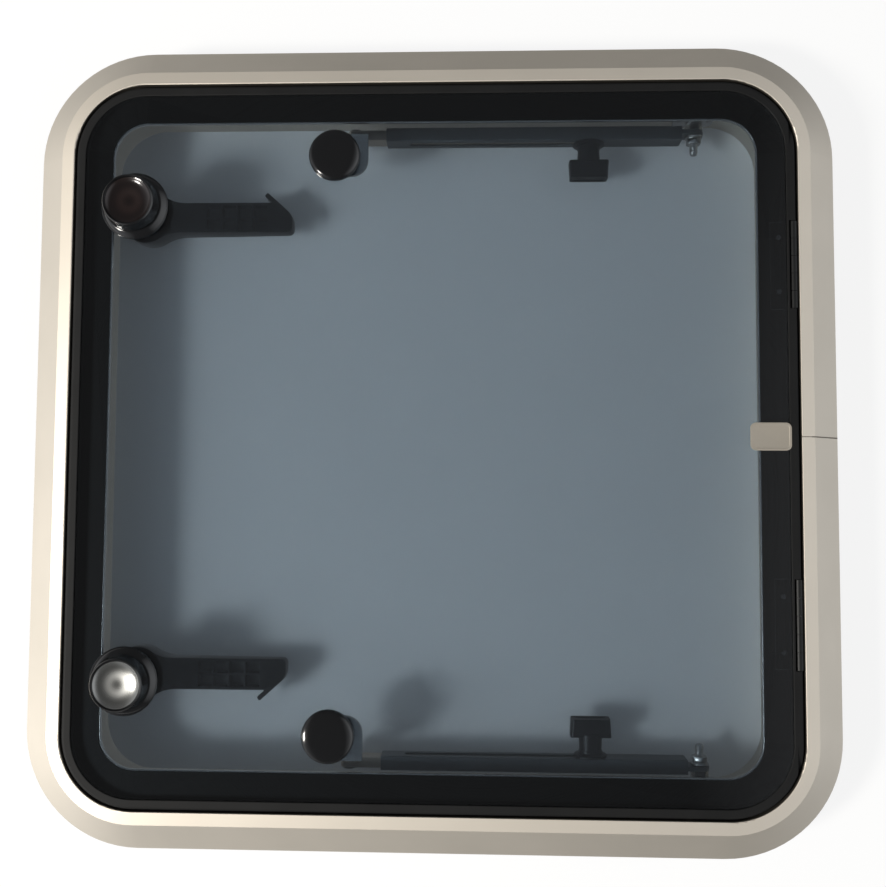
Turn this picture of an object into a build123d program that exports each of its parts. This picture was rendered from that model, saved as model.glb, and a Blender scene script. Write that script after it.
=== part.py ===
"""Deck hatch, 600 mm square over the flange, with a tinted lens that hinges on its right side,
two through-lens handles and two telescopic stays with clamp knobs.

Frame: origin at the middle of the hatch on the deck plane, the underside of the flange.
+Z is up, +X points to the hinge side, and the front pieces lie at -Y and the rear ones at +Y.
Every front piece is drawn at its place, and its rear twin is its mirror image across XZ.
A value ending in _y for a front piece is its distance from the middle, so it lies at minus that.
Millimetres and degrees throughout.
"""
from build123d import *
import os
from math import atan2, cos, radians, sin, tan

# Base frame: one bent aluminium extrusion with its two bands, gutter and spigot
overall = 600.0
corner_radius = 86.0
rim_height = 20.0
edge_height = 2.0
knee_height = 18.5
slope_width = 22.0
top_band_width = 10.0
skin = 3.0
foot_width = 6.0
gutter_floor = 3.0
gutter_width = 13.0
spigot_wall = 4.0
spigot_depth = 32.0
coaming_height = 6.5
rim_edge_radius = 1.0
seam_y = 4.4
seam_width = 0.6
seam_depth = 0.3

# Deck screws, countersunk through the gutter floor
deck_screw_radius = 2.75
deck_screw_head_radius = 4.7
deck_screw_near = 50.0
deck_screw_end = 70.0
deck_screw_far = 190.0

# Compression seal that rides on the coaming
seal_grip = 1.3
seal_skirt = 3.3
seal_crown = 2.2
seal_gap = 0.3

# Lid: lens, black under-frame and edge gasket
lens_thickness = 8.0
lens_setback = 8.5
lens_chamfer = 0.6
lid_frame_thickness = 3.0
lid_frame_setback = 2.0
lid_frame_width = 25.5
gasket_setback = 1.2
gasket_crown_radius = 2.6
gasket_lip_radius = 0.8
swing_room = 0.3

# Concealed butt hinges, their axis just inside the rim
hinge_y = 130.0
hinge_length = 64.0
hinge_setback = 3.0
hinge_drop = 2.8
knuckle_radius = 2.75
knuckle_count = 5
knuckle_gap = 0.3
knuckle_room = 1.0
hinge_pin_radius = 1.5
pin_seat_clearance = 0.02
running_clearance = 0.08
leaf_thickness = 1.75
hinge_foot_width = 10.0
hinge_foot_thickness = 2.5
lid_leaf_width = 15.0
leaf_screw_inset = 5.0
hinge_notch_gap = 0.4
hinge_screw_spread = 40.0
hinge_screw_radius = 2.0
hinge_screw_head_radius = 3.8
leaf_screw_radius = 1.75
leaf_screw_head_radius = 3.2
leaf_screw_bite = 5.0
screw_clearance = 0.05
countersink_angle = 90.0

# Through-lens handles
handle_setback_x = 79.0
handle_setback_y = 125.0
bezel_radius = 25.0
bezel_edge_height = 2.2
bezel_height = 5.5
bezel_shoulder = 3.5
bezel_barrel_radius = 12.0
barrel_clearance = 0.1
handle_nut_radius = 17.0
handle_nut_height = 6.0
spindle_radius = 7.8
spindle_square = 11.0
spindle_drive = 6.0
spindle_tail = 4.0
knob_radius = 20.3
knob_height = 11.5
knob_taper = 1.0
knob_rim = 3.5
knob_rim_radius = 1.2
knob_foot_radius = 0.8
knob_dish_depth = 3.5
running_gap = 0.3
finger_gap = 20.0
lever_depth = 16.0
lever_neck_radius = 11.0
lever_head_radius = 20.5
lever_head_flat = 11.5
lever_head_blend = 14.0
lever_reach = 113.0
lever_inner_edge = 12.5
lever_outer_edge = 10.5
lever_tip_rise = 5.0
lever_tip_radius = 4.0
fin_reach = 18.4
fin_angle = 42.0
fin_thickness = 3.5
fin_start = 1.0
rib_cells = 4
rib_pocket_start = 46.0
rib_pocket_end = 94.0
rib_pocket_wall = 2.5
rib_pocket_depth = 6.0
rib_thickness = 2.0
rib_corner_radius = 1.0
lever_screw_radius = 3.0
lever_screw_head_radius = 5.5
lever_screw_head_height = 3.5
lever_screw_socket_radius = 2.4
lever_screw_bite = 10.0

# Keepers, which the lever heads turn under
keeper_depth = 13.7
keeper_length = 26.0
keeper_height = 10.0
keeper_lead = 2.5
keeper_screw_spread = 14.0
wall_screw_radius = 2.0
wall_screw_head_radius = 3.6

# Telescopic stays
stay_pivot_setback = 100.5
stay_pivot_z = -12.0
stay_reach = 259.0
channel_back = 10.0
channel_from_rivet = 24.0
channel_width = 10.5
channel_height = 16.0
channel_wall = 1.2
channel_edge_radius = 1.0
channel_plug = 6.0
channel_from_wall = 9.0
bar_width = 7.5
bar_height = 13.0
bar_back = 68.0
slot_from_mouth = 17.0
slot_height = 6.6
slot_end_room = 4.0
eye_radius = 7.0
eye_thickness = 3.0
eye_from_wall = 11.5
stay_bolt_radius = 3.0
stay_bolt_reach = 29.5
stay_bolt_edge_radius = 1.0
stay_washer_radius = 6.5
stay_washer_thickness = 1.5
stay_nut_flats = 10.0
stay_nut_height = 5.0
anchor_thickness = 3.0
anchor_length = 30.0
anchor_height = 20.0
anchor_corner_radius = 4.0
anchor_boss_radius = 6.5
anchor_screw_spread = 22.0

# Lid ends of the stays
cap_setback_y = 88.0
cap_past_pivot = 12.0
cap_radius = 19.0
cap_height = 6.5
cap_side_height = 3.4
cap_edge_radius = 1.5
cap_washer_radius = 18.0
cap_washer_thickness = 1.0
stud_radius = 4.0
stud_below_nut = 2.0
stud_in_cap = 3.0
stud_nut_flats = 13.0
stud_nut_height = 6.0
bracket_thickness = 3.0
bracket_length = 36.0
bracket_past_cap = 13.0
bracket_corner_radius = 12.5
ear_top_width = 24.0
ear_radius = 9.0
ear_hole_radius = 3.2
rivet_radius = 3.0
rivet_collar_radius = 4.5
rivet_head_radius = 5.5
rivet_head_height = 1.3

# Clamp knobs
clamp_back = 80.0
clamp_flange_radius = 13.5
clamp_flange_thickness = 2.0
clamp_stem_radius = 8.5
clamp_stem_length = 11.0
clamp_head_length = 14.7
clamp_head_width = 30.0
clamp_head_depth = 13.0
clamp_edge_radius = 2.5
clamp_stud_radius = 3.0
clamp_stud_in_knob = 8.0
clamp_stud_in_bar = 5.5

# Bare plate on the lens at the hinge side
plate_setback = 54.0
plate_y = 4.4
plate_length = 30.5
plate_width = 20.5
plate_thickness = 0.8
plate_corner_radius = 4.0
plate_edge_radius = 0.3

# How far a cutting shape runs past the piece that it cuts
cut_room = 1.0

# Half sizes and heights worked out from the values above
half = overall / 2
rim_inset = slope_width + top_band_width
rim_wall = half - rim_inset
rim_corner_radius = corner_radius - rim_inset
rim_corner_middle = rim_wall - rim_corner_radius
spigot_inset = rim_inset + gutter_width
spigot_outer = half - spigot_inset
spigot_inner = spigot_outer - spigot_wall
gutter_line = (rim_wall + spigot_outer + seal_grip) / 2
lid_frame_bottom = coaming_height + seal_crown + seal_gap
lens_bottom = lid_frame_bottom + lid_frame_thickness
lens_top = lens_bottom + lens_thickness
lens_inset = rim_inset + lens_setback
lens_half = half - lens_inset
gasket_half = rim_wall - gasket_setback
lid_frame_inset = rim_inset + lid_frame_setback
hinge_x = rim_wall - hinge_setback
hinge_z = lens_top - hinge_drop
leaf_outer_x = hinge_x - knuckle_radius + leaf_thickness
leaf_inner_x = leaf_outer_x - lid_leaf_width
leaf_screw_x = leaf_inner_x + leaf_screw_inset
handle_x = -(half - handle_setback_x)
handle_y = half - handle_setback_y
nut_bottom = lens_bottom - handle_nut_height
neck_top = nut_bottom - running_gap
lever_top = lens_bottom - finger_gap
lever_bottom = lever_top - lever_depth
knob_bottom = lens_top + bezel_height + running_gap
keeper_bottom = lever_top + running_gap
keeper_middle = keeper_bottom + keeper_height / 2
stay_pivot_x = half - stay_pivot_setback
stay_lid_pivot_x = stay_pivot_x - stay_reach
channel_end_x = stay_pivot_x - channel_back
channel_start_x = stay_lid_pivot_x + channel_from_rivet
bar_tail_x = stay_pivot_x - bar_back
slot_start_x = channel_start_x + slot_from_mouth
clamp_x = stay_pivot_x - clamp_back
cap_x = stay_lid_pivot_x - cap_past_pivot
cap_y = half - cap_setback_y
bracket_inner_y = cap_y - bracket_past_cap
plate_x = half - plate_setback
channel_outer_y = spigot_inner - channel_from_wall
channel_inner_y = channel_outer_y - channel_width
bar_inner_y = (channel_outer_y + channel_inner_y - bar_width) / 2
bar_outer_y = bar_inner_y + bar_width
eye_outer_y = spigot_inner - eye_from_wall
eye_inner_y = eye_outer_y - eye_thickness
ear_outer_y = channel_inner_y - running_gap
ear_inner_y = ear_outer_y - bracket_thickness
clamp_flange_y = channel_inner_y - running_gap
clamp_stem_y = clamp_flange_y - clamp_flange_thickness
clamp_head_y = clamp_stem_y - clamp_stem_length
clamp_end_y = clamp_head_y - clamp_head_length
bracket_bottom = lens_bottom - bracket_thickness
stud_nut_bottom = bracket_bottom - stud_nut_height
cap_bottom = lens_top + cap_washer_thickness


def write(piece, name):
    """Labels one finished piece and writes its file."""
    piece.part.label = name
    export_step(piece.part, f"parts/{name}.step")


def write_pair(piece, name):
    """Writes the front piece as drawn, and the rear one as its mirror image."""
    write(piece, f"{name}_front")
    with BuildPart() as rear:
        mirror(piece.part, about=Plane.XZ)
    write(rear, f"{name}_rear")


def rounded_square(inset, mode=Mode.ADD):
    """A square with the frame's own corners, drawn that far inside the outer edge."""
    side = overall - 2 * inset
    RectangleRounded(side, side, corner_radius - inset, mode=mode)


def front_face(y, x=0.0, z=0.0):
    """An upright plane at y in front of the middle, facing outwards, with its origin at x and z."""
    return Plane(origin=(x, -y, z), x_dir=(1, 0, 0), z_dir=(0, -1, 0))


def countersunk_screw(head_radius, shank_radius, length):
    """A countersunk screw whose flat head lies at the current location and whose shank runs down."""
    top = (Align.CENTER, Align.CENTER, Align.MAX)
    Cone(shank_radius, head_radius, head_radius - shank_radius, align=top)
    Cylinder(shank_radius, length, align=top)


def countersunk_hole(head_radius, shank_radius, depth):
    """The hole that such a screw passes through, with a little room all round."""
    CounterSinkHole(shank_radius + screw_clearance, head_radius + screw_clearance, depth, countersink_angle)


os.makedirs("parts", exist_ok=True)

# Outer edge of the front half, which the frame and the gasket are swept along
with BuildLine() as half_outline:
    FilletPolyline((half, 0), (half, -half), (-half, -half), (-half, 0), radius=corner_radius)

# Base frame
slope_angle = atan2(knee_height - edge_height, slope_width)
skin_drop = skin / cos(slope_angle)
with BuildPart() as base_frame:
    with BuildSketch(Plane.XZ) as frame_section:
        with BuildLine():
            Polyline(
                (half, 0),
                (half, edge_height),
                (half - slope_width, knee_height),
                (rim_wall, rim_height),
                (rim_wall, gutter_floor),
                (spigot_outer, gutter_floor),
                (spigot_outer, coaming_height),
                (spigot_inner, coaming_height),
                (spigot_inner, -spigot_depth),
                (spigot_outer, -spigot_depth),
                (spigot_outer, 0),
                (rim_wall + skin, 0),
                (rim_wall + skin, rim_height - rim_edge_radius / 2 - skin),
                (half - slope_width, knee_height - skin_drop),
                (half - foot_width, edge_height + foot_width * tan(slope_angle) - skin_drop),
                (half - foot_width, 0),
                close=True,
            )
        make_face()
        fillet(frame_section.vertices().sort_by(Axis.Y)[-1], rim_edge_radius)
    sweep(path=half_outline.wire())
    side_rows = (deck_screw_near, deck_screw_far)
    end_rows = (deck_screw_end, deck_screw_far)
    side_spots = [(side * gutter_line, -y, gutter_floor) for side in (-1, 1) for y in side_rows]
    end_spots = [(side * x, -gutter_line, gutter_floor) for side in (-1, 1) for x in end_rows]
    with Locations(side_spots + end_spots):
        CounterSinkHole(deck_screw_radius, deck_screw_head_radius, gutter_floor, countersink_angle)
    with Locations((gutter_line, -hinge_y, gutter_floor)):
        with GridLocations(1, hinge_screw_spread, 1, 2):
            Hole(hinge_screw_radius + screw_clearance, depth=gutter_floor)
    with BuildSketch(front_face(spigot_inner, stay_pivot_x, stay_pivot_z)):
        with GridLocations(anchor_screw_spread, 1, 2, 1):
            Circle(wall_screw_radius + screw_clearance)
    extrude(amount=spigot_wall, mode=Mode.SUBTRACT)
    with BuildSketch(Plane.YZ.offset(-spigot_outer)):
        with Locations((-handle_y, keeper_middle)):
            with GridLocations(keeper_screw_spread, 1, 2, 1):
                Circle(wall_screw_radius + screw_clearance)
    extrude(amount=spigot_wall, mode=Mode.SUBTRACT)
    mirror(about=Plane.XZ)
    with BuildSketch(Plane.XZ.offset(-seam_y)):
        with BuildLine():
            Polyline(
                (half, edge_height - seam_depth),
                (half, edge_height + seam_depth),
                (half - slope_width, knee_height + seam_depth),
                (rim_wall, rim_height + seam_depth),
                (rim_wall, rim_height - seam_depth),
                (half - slope_width, knee_height - seam_depth),
                close=True,
            )
        make_face()
    extrude(amount=seam_width / 2, both=True, mode=Mode.SUBTRACT)
write(base_frame, "base_frame")

# Weather seal, a clip-on channel with a soft crown
with BuildPart() as weather_seal:
    with BuildSketch(Plane.XY.offset(coaming_height - seal_skirt)):
        rounded_square(spigot_inset - seal_grip)
        rounded_square(spigot_inset + spigot_wall + seal_grip, mode=Mode.SUBTRACT)
    extrude(amount=seal_skirt + seal_crown)
    fillet(weather_seal.edges().group_by(Axis.Z)[-1], seal_grip)
    with BuildSketch(Plane.XY.offset(coaming_height - seal_skirt)):
        rounded_square(spigot_inset)
        rounded_square(spigot_inset + spigot_wall, mode=Mode.SUBTRACT)
    extrude(amount=seal_skirt, mode=Mode.SUBTRACT)
write(weather_seal, "weather_seal")

# Lid under-frame, cut out for the hinge leaves
notch_length = hinge_length + 2 * hinge_notch_gap
with BuildPart() as lid_frame:
    with BuildSketch(Plane.XY.offset(lid_frame_bottom)):
        rounded_square(lid_frame_inset)
        rounded_square(lid_frame_inset + lid_frame_width, mode=Mode.SUBTRACT)
        with Locations((leaf_inner_x - running_gap, -hinge_y), (leaf_inner_x - running_gap, hinge_y)):
            Rectangle(half, notch_length, align=(Align.MIN, Align.CENTER), mode=Mode.SUBTRACT)
    extrude(amount=lid_frame_thickness)
write(lid_frame, "lid_frame")

# Lens
with BuildPart() as lens:
    with BuildSketch(Plane.XY.offset(lens_bottom)):
        rounded_square(lens_inset)
    extrude(amount=lens_thickness)
    chamfer(lens.edges().group_by(Axis.Z)[-1], lens_chamfer)
    with Locations((handle_x, -handle_y, lens_top), (handle_x, handle_y, lens_top)):
        Hole(bezel_barrel_radius + barrel_clearance)
    with Locations((cap_x, -cap_y, lens_top), (cap_x, cap_y, lens_top)):
        Hole(stud_radius + barrel_clearance)
    with BuildSketch(Plane.XY.offset(lens_bottom)):
        with Locations((leaf_screw_x, -hinge_y), (leaf_screw_x, hinge_y)):
            with GridLocations(1, hinge_screw_spread, 1, 2):
                Circle(leaf_screw_radius + screw_clearance)
    extrude(amount=leaf_screw_bite + running_gap, mode=Mode.SUBTRACT)
write(lens, "lens")

# Lens gasket, with its crown rounded and the hinge knuckles let into it
with BuildPart() as lens_gasket:
    with BuildSketch(Plane.XZ) as gasket_section:
        with BuildLine():
            Polyline(
                (lens_half, lens_bottom),
                (gasket_half, lens_bottom),
                (gasket_half, lens_top),
                (lens_half, lens_top),
                close=True,
            )
        make_face()
        upper = gasket_section.vertices().group_by(Axis.Y)[-1]
        fillet(upper.sort_by(Axis.X)[-1], gasket_crown_radius)
        upper = gasket_section.vertices().group_by(Axis.Y)[-1]
        fillet(upper.sort_by(Axis.X)[0], gasket_lip_radius)
    sweep(path=half_outline.wire())
    # The corners at the hinge side are eased, where they swing past the rim as the lid stands up
    with BuildSketch(Plane.YZ.offset(hinge_x - hinge_drop - swing_room)):
        with Locations((-rim_corner_middle, lens_bottom)):
            Rectangle(rim_corner_radius, 2 * lens_thickness, align=(Align.MAX, Align.MIN))
        with Locations((-rim_corner_middle, hinge_z - hinge_x + rim_corner_middle)):
            Circle(rim_corner_radius - swing_room, mode=Mode.SUBTRACT)
    extrude(amount=hinge_setback + hinge_drop + swing_room, mode=Mode.SUBTRACT)
    mirror(about=Plane.XZ)
    with BuildSketch(Plane.XY.offset(lens_bottom)):
        with Locations((hinge_x, -hinge_y), (hinge_x, hinge_y)):
            Rectangle(2 * (knuckle_radius + knuckle_room), notch_length)
    extrude(amount=lens_thickness, mode=Mode.SUBTRACT)
write(lens_gasket, "lens_gasket")

# Name plate, left bare
with BuildPart() as name_plate:
    with BuildSketch(Plane.XY.offset(lens_top)):
        with Locations((plate_x, plate_y)):
            RectangleRounded(plate_length, plate_width, plate_corner_radius)
    extrude(amount=plate_thickness)
    fillet(name_plate.edges().group_by(Axis.Z)[-1], plate_edge_radius)
write(name_plate, "name_plate")

# Hinges: two leaves whose knuckles take turns along one pin
knuckle_length = (hinge_length - (knuckle_count - 1) * knuckle_gap) / knuckle_count
hinge_start = hinge_y - hinge_length / 2
web_foot_x = rim_wall - hinge_foot_width
web_x = hinge_x + knuckle_radius - leaf_thickness
web_top = hinge_z - knuckle_radius - running_gap
foot_top = gutter_floor + hinge_foot_thickness


def knuckles(first, web_low_x, web_low_z, bore):
    """Every other knuckle from the first one, each on its own web, bored for the pin."""
    for index in range(first, knuckle_count, 2):
        start = hinge_start + index * (knuckle_length + knuckle_gap)
        with BuildSketch(front_face(start)) as outline:
            with Locations((hinge_x, hinge_z)):
                Circle(knuckle_radius)
            with Locations((web_low_x, web_low_z)):
                Rectangle(leaf_thickness, hinge_z - web_low_z, align=(Align.MIN, Align.MIN))
            with Locations((hinge_x, hinge_z)):
                Circle(bore, mode=Mode.SUBTRACT)
        extrude(outline.sketch, amount=knuckle_length)


with BuildPart() as hinge_base:
    with BuildSketch(front_face(hinge_start)):
        with BuildLine():
            Polyline(
                (web_foot_x, gutter_floor),
                (web_x + leaf_thickness, gutter_floor),
                (web_x + leaf_thickness, web_top),
                (web_x, web_top),
                (web_x, foot_top),
                (web_foot_x, foot_top),
                close=True,
            )
        make_face()
    extrude(amount=hinge_length)
    knuckles(0, web_x, foot_top, hinge_pin_radius + pin_seat_clearance)
    with Locations((gutter_line, -hinge_y, foot_top)):
        with GridLocations(1, hinge_screw_spread, 1, 2):
            countersunk_hole(hinge_screw_head_radius, hinge_screw_radius, hinge_foot_thickness)
write_pair(hinge_base, "hinge_base")

with BuildPart() as hinge_leaf:
    with BuildSketch(front_face(hinge_start)):
        with Locations((leaf_inner_x, lid_frame_bottom)):
            Rectangle(lid_leaf_width, lid_frame_thickness, align=(Align.MIN, Align.MIN))
    extrude(amount=hinge_length)
    knuckles(1, leaf_outer_x - leaf_thickness, lid_frame_bottom, hinge_pin_radius + running_clearance)
    with Locations(Plane(origin=(leaf_screw_x, -hinge_y, lid_frame_bottom), z_dir=(0, 0, -1))):
        with GridLocations(1, hinge_screw_spread, 1, 2):
            countersunk_hole(leaf_screw_head_radius, leaf_screw_radius, lid_frame_thickness)
write_pair(hinge_leaf, "hinge_leaf")

with BuildPart() as hinge_pin:
    with BuildSketch(front_face(hinge_start, hinge_x, hinge_z)):
        Circle(hinge_pin_radius)
    extrude(amount=hinge_length)
write_pair(hinge_pin, "hinge_pin")

with BuildPart() as hinge_base_screws:
    with Locations((gutter_line, -hinge_y, foot_top), (gutter_line, hinge_y, foot_top)):
        with GridLocations(1, hinge_screw_spread, 1, 2):
            countersunk_screw(hinge_screw_head_radius, hinge_screw_radius, foot_top)
write(hinge_base_screws, "hinge_base_screws")

with BuildPart() as hinge_leaf_screws:
    undersides = [
        Plane(origin=(leaf_screw_x, y, lid_frame_bottom), z_dir=(0, 0, -1))
        for y in (-hinge_y, hinge_y)
    ]
    with Locations(undersides):
        with GridLocations(1, hinge_screw_spread, 1, 2):
            countersunk_screw(
                leaf_screw_head_radius, leaf_screw_radius, lid_frame_thickness + leaf_screw_bite
            )
write(hinge_leaf_screws, "hinge_leaf_screws")

# Handle bezel, with the barrel that passes through the lens
handle_profile = front_face(handle_y, handle_x)
handle_axis = Axis((handle_x, -handle_y, 0), (0, 0, 1))
bore_radius = spindle_radius + running_clearance
with BuildPart() as handle_bezel:
    with BuildSketch(handle_profile) as bezel_section:
        with BuildLine():
            Polyline(
                (bore_radius, nut_bottom),
                (bezel_barrel_radius, nut_bottom),
                (bezel_barrel_radius, lens_top),
                (bezel_radius, lens_top),
                (bezel_radius, lens_top + bezel_edge_height),
                (bezel_radius - bezel_shoulder, lens_top + bezel_height),
                (bore_radius, lens_top + bezel_height),
                close=True,
            )
        make_face()
        raised = bezel_section.vertices().filter_by(lambda vertex: vertex.Y > lens_top + bezel_shoulder / 2)
        fillet(raised.sort_by(Axis.X)[-2:], bezel_edge_height / 2)
    revolve(axis=handle_axis)
write_pair(handle_bezel, "handle_bezel")

with BuildPart() as handle_nut:
    with BuildSketch(Plane((handle_x, -handle_y, nut_bottom))):
        Circle(handle_nut_radius)
        Circle(bezel_barrel_radius, mode=Mode.SUBTRACT)
    extrude(amount=handle_nut_height)
    chamfer(handle_nut.edges().group_by(Axis.Z)[0].sort_by(SortBy.RADIUS)[-1], 1)
write_pair(handle_nut, "handle_nut")

# Handle knob, dished on top
with BuildPart() as handle_knob:
    with BuildSketch(handle_profile) as knob_section:
        with BuildLine():
            Polyline(
                (0, knob_bottom),
                (knob_radius, knob_bottom),
                (knob_radius - knob_taper, knob_bottom + knob_height),
                (knob_radius - knob_taper - knob_rim, knob_bottom + knob_height),
            )
            TangentArc(
                (0, knob_bottom + knob_height - knob_dish_depth),
                (knob_radius - knob_taper - knob_rim, knob_bottom + knob_height),
                tangent=(1, 0),
            )
            Line((0, knob_bottom + knob_height - knob_dish_depth), (0, knob_bottom))
        make_face()
        fillet(knob_section.vertices().group_by(Axis.Y)[-1], knob_rim_radius)
        fillet(knob_section.vertices().group_by(Axis.Y)[0].sort_by(Axis.X)[-1], knob_foot_radius)
    revolve(axis=handle_axis)
    with BuildSketch(Plane((handle_x, -handle_y, knob_bottom))):
        Rectangle(spindle_square, spindle_square)
    extrude(amount=spindle_drive, mode=Mode.SUBTRACT)
write_pair(handle_knob, "handle_knob")

# Spindle, round in the bezel and square in the knob and the lever
spindle_bottom = lever_top - spindle_tail
with BuildPart() as handle_spindle:
    with BuildSketch(Plane((handle_x, -handle_y, neck_top))):
        Circle(spindle_radius)
    extrude(amount=knob_bottom - neck_top)
    with BuildSketch(Plane((handle_x, -handle_y, spindle_bottom))):
        Rectangle(spindle_square, spindle_square)
    extrude(amount=knob_bottom + spindle_drive - spindle_bottom)
    with BuildSketch(Plane((handle_x, -handle_y, spindle_bottom))):
        Circle(lever_screw_radius)
    extrude(amount=lever_screw_bite, mode=Mode.SUBTRACT)
write_pair(handle_spindle, "handle_spindle")

# Lever: neck, cam head cut flat towards the frame, ribbed paddle and the fin at its tip
fin_run = (fin_reach - fin_start) / tan(radians(fin_angle))
fin_tip = (lever_reach - fin_run, -fin_reach)
fin_inner_tip = (
    fin_tip[0] - fin_thickness * sin(radians(fin_angle)),
    fin_tip[1] + fin_thickness * cos(radians(fin_angle)),
)
fin_root = fin_inner_tip[0] + (-lever_outer_edge - fin_inner_tip[1]) / tan(radians(fin_angle))
cell_length = (rib_pocket_end - rib_pocket_start - (rib_cells - 1) * rib_thickness) / rib_cells
cell_width = (lever_inner_edge + lever_outer_edge - 2 * rib_pocket_wall - rib_thickness) / 2
pocket_middle = ((rib_pocket_start + rib_pocket_end) / 2, (lever_inner_edge - lever_outer_edge) / 2)
screw_seat = lever_bottom + lever_screw_head_height
with BuildPart() as handle_lever:
    with BuildSketch(Plane((handle_x, -handle_y, lever_bottom))) as lever_outline:
        Circle(lever_head_radius)
        with BuildLine():
            Polyline(
                (0, -lever_outer_edge),
                (fin_root, -lever_outer_edge),
                fin_inner_tip,
                fin_tip,
                (lever_reach, -fin_start),
                (lever_reach, lever_inner_edge),
                (0, lever_inner_edge),
                close=True,
            )
        make_face()
        corners = lever_outline.vertices()
        fillet(
            corners.filter_by(lambda vertex: lever_head_flat < vertex.X < lever_head_radius),
            lever_head_blend,
        )
        fillet(lever_outline.vertices().group_by(Axis.X)[-1], lever_tip_radius)
        with Locations((-lever_head_flat, 0)):
            Rectangle(half, half, align=(Align.MAX, Align.CENTER), mode=Mode.SUBTRACT)
    extrude(amount=lever_depth)
    with BuildSketch(front_face(handle_y + half / 2, handle_x, lever_bottom)):
        with BuildLine():
            Polyline(
                (lever_head_radius, 0),
                (lever_reach + cut_room, 0),
                (lever_reach + cut_room, lever_tip_rise),
                close=True,
            )
        make_face()
    extrude(amount=-half, mode=Mode.SUBTRACT)
    with BuildSketch(Plane((handle_x, -handle_y, lever_top))):
        with Locations(pocket_middle):
            with GridLocations(cell_length + rib_thickness, cell_width + rib_thickness, rib_cells, 2):
                RectangleRounded(cell_length, cell_width, rib_corner_radius)
    extrude(amount=-rib_pocket_depth, mode=Mode.SUBTRACT)
    with BuildSketch(Plane((handle_x, -handle_y, lever_top))):
        Circle(lever_neck_radius)
    extrude(amount=neck_top - lever_top)
    with BuildSketch(Plane((handle_x, -handle_y, spindle_bottom))):
        Rectangle(spindle_square, spindle_square)
    extrude(amount=neck_top - spindle_bottom, mode=Mode.SUBTRACT)
    with BuildSketch(Plane((handle_x, -handle_y, lever_bottom))):
        Circle(lever_screw_head_radius)
    extrude(amount=lever_screw_head_height, mode=Mode.SUBTRACT)
    with BuildSketch(Plane((handle_x, -handle_y, screw_seat))):
        Circle(lever_screw_radius)
    extrude(amount=spindle_bottom - screw_seat, mode=Mode.SUBTRACT)
write_pair(handle_lever, "handle_lever")

with BuildPart() as handle_screw:
    with BuildSketch(Plane((handle_x, -handle_y, lever_bottom))):
        Circle(lever_screw_head_radius)
    extrude(amount=lever_screw_head_height)
    with BuildSketch(Plane((handle_x, -handle_y, lever_bottom))):
        RegularPolygon(lever_screw_socket_radius, 6)
    extrude(amount=lever_screw_head_height / 2, mode=Mode.SUBTRACT)
    with BuildSketch(Plane((handle_x, -handle_y, screw_seat))):
        Circle(lever_screw_radius)
    extrude(amount=spindle_bottom + lever_screw_bite - screw_seat)
write_pair(handle_screw, "handle_screw")

# Keepers on the inner wall of the spigot, with a lead-in at both ends
with BuildPart() as keeper:
    with BuildSketch(Plane.XY.offset(keeper_bottom)):
        with BuildLine():
            Polyline(
                (-spigot_inner, -handle_y - keeper_length / 2),
                (-spigot_inner + keeper_depth - keeper_lead, -handle_y - keeper_length / 2),
                (-spigot_inner + keeper_depth, -handle_y - keeper_length / 2 + keeper_lead),
                (-spigot_inner + keeper_depth, -handle_y + keeper_length / 2 - keeper_lead),
                (-spigot_inner + keeper_depth - keeper_lead, -handle_y + keeper_length / 2),
                (-spigot_inner, -handle_y + keeper_length / 2),
                close=True,
            )
        make_face()
    extrude(amount=keeper_height)
    with Locations(Plane(origin=(-spigot_inner + keeper_depth, -handle_y, keeper_middle), z_dir=(1, 0, 0))):
        with GridLocations(1, keeper_screw_spread, 1, 2):
            countersunk_hole(wall_screw_head_radius, wall_screw_radius, keeper_depth)
write_pair(keeper, "keeper")

with BuildPart() as keeper_screws:
    seats = [
        Plane(origin=(-spigot_inner + keeper_depth, y, keeper_middle), z_dir=(1, 0, 0))
        for y in (-handle_y, handle_y)
    ]
    with Locations(seats):
        with GridLocations(1, keeper_screw_spread, 1, 2):
            countersunk_screw(wall_screw_head_radius, wall_screw_radius, keeper_depth + spigot_wall)
write(keeper_screws, "keeper_screws")

# Stay anchors on the inner wall of the spigot
anchor_face_y = spigot_inner - anchor_thickness
boss_face_y = eye_outer_y + running_gap
with BuildPart() as stay_anchor:
    with BuildSketch(front_face(anchor_face_y, stay_pivot_x, stay_pivot_z)):
        RectangleRounded(anchor_length, anchor_height, anchor_corner_radius)
    extrude(amount=anchor_thickness)
    with BuildSketch(front_face(boss_face_y, stay_pivot_x, stay_pivot_z)):
        Circle(anchor_boss_radius)
    extrude(amount=anchor_face_y - boss_face_y)
    with BuildSketch(front_face(boss_face_y, stay_pivot_x, stay_pivot_z)):
        Circle(stay_bolt_radius)
    extrude(amount=spigot_inner - boss_face_y, mode=Mode.SUBTRACT)
    anchor_face = Plane(origin=(stay_pivot_x, -anchor_face_y, stay_pivot_z), x_dir=(1, 0, 0), z_dir=(0, 1, 0))
    with Locations(anchor_face):
        with GridLocations(anchor_screw_spread, 1, 2, 1):
            countersunk_hole(wall_screw_head_radius, wall_screw_radius, anchor_thickness)
write_pair(stay_anchor, "stay_anchor")

with BuildPart() as stay_anchor_screws:
    seats = [
        Plane(origin=(stay_pivot_x, -anchor_face_y * side, stay_pivot_z), x_dir=(1, 0, 0), z_dir=(0, side, 0))
        for side in (1, -1)
    ]
    with Locations(seats):
        with GridLocations(anchor_screw_spread, 1, 2, 1):
            countersunk_screw(wall_screw_head_radius, wall_screw_radius, anchor_thickness + spigot_wall)
write(stay_anchor_screws, "stay_anchor_screws")

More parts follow.
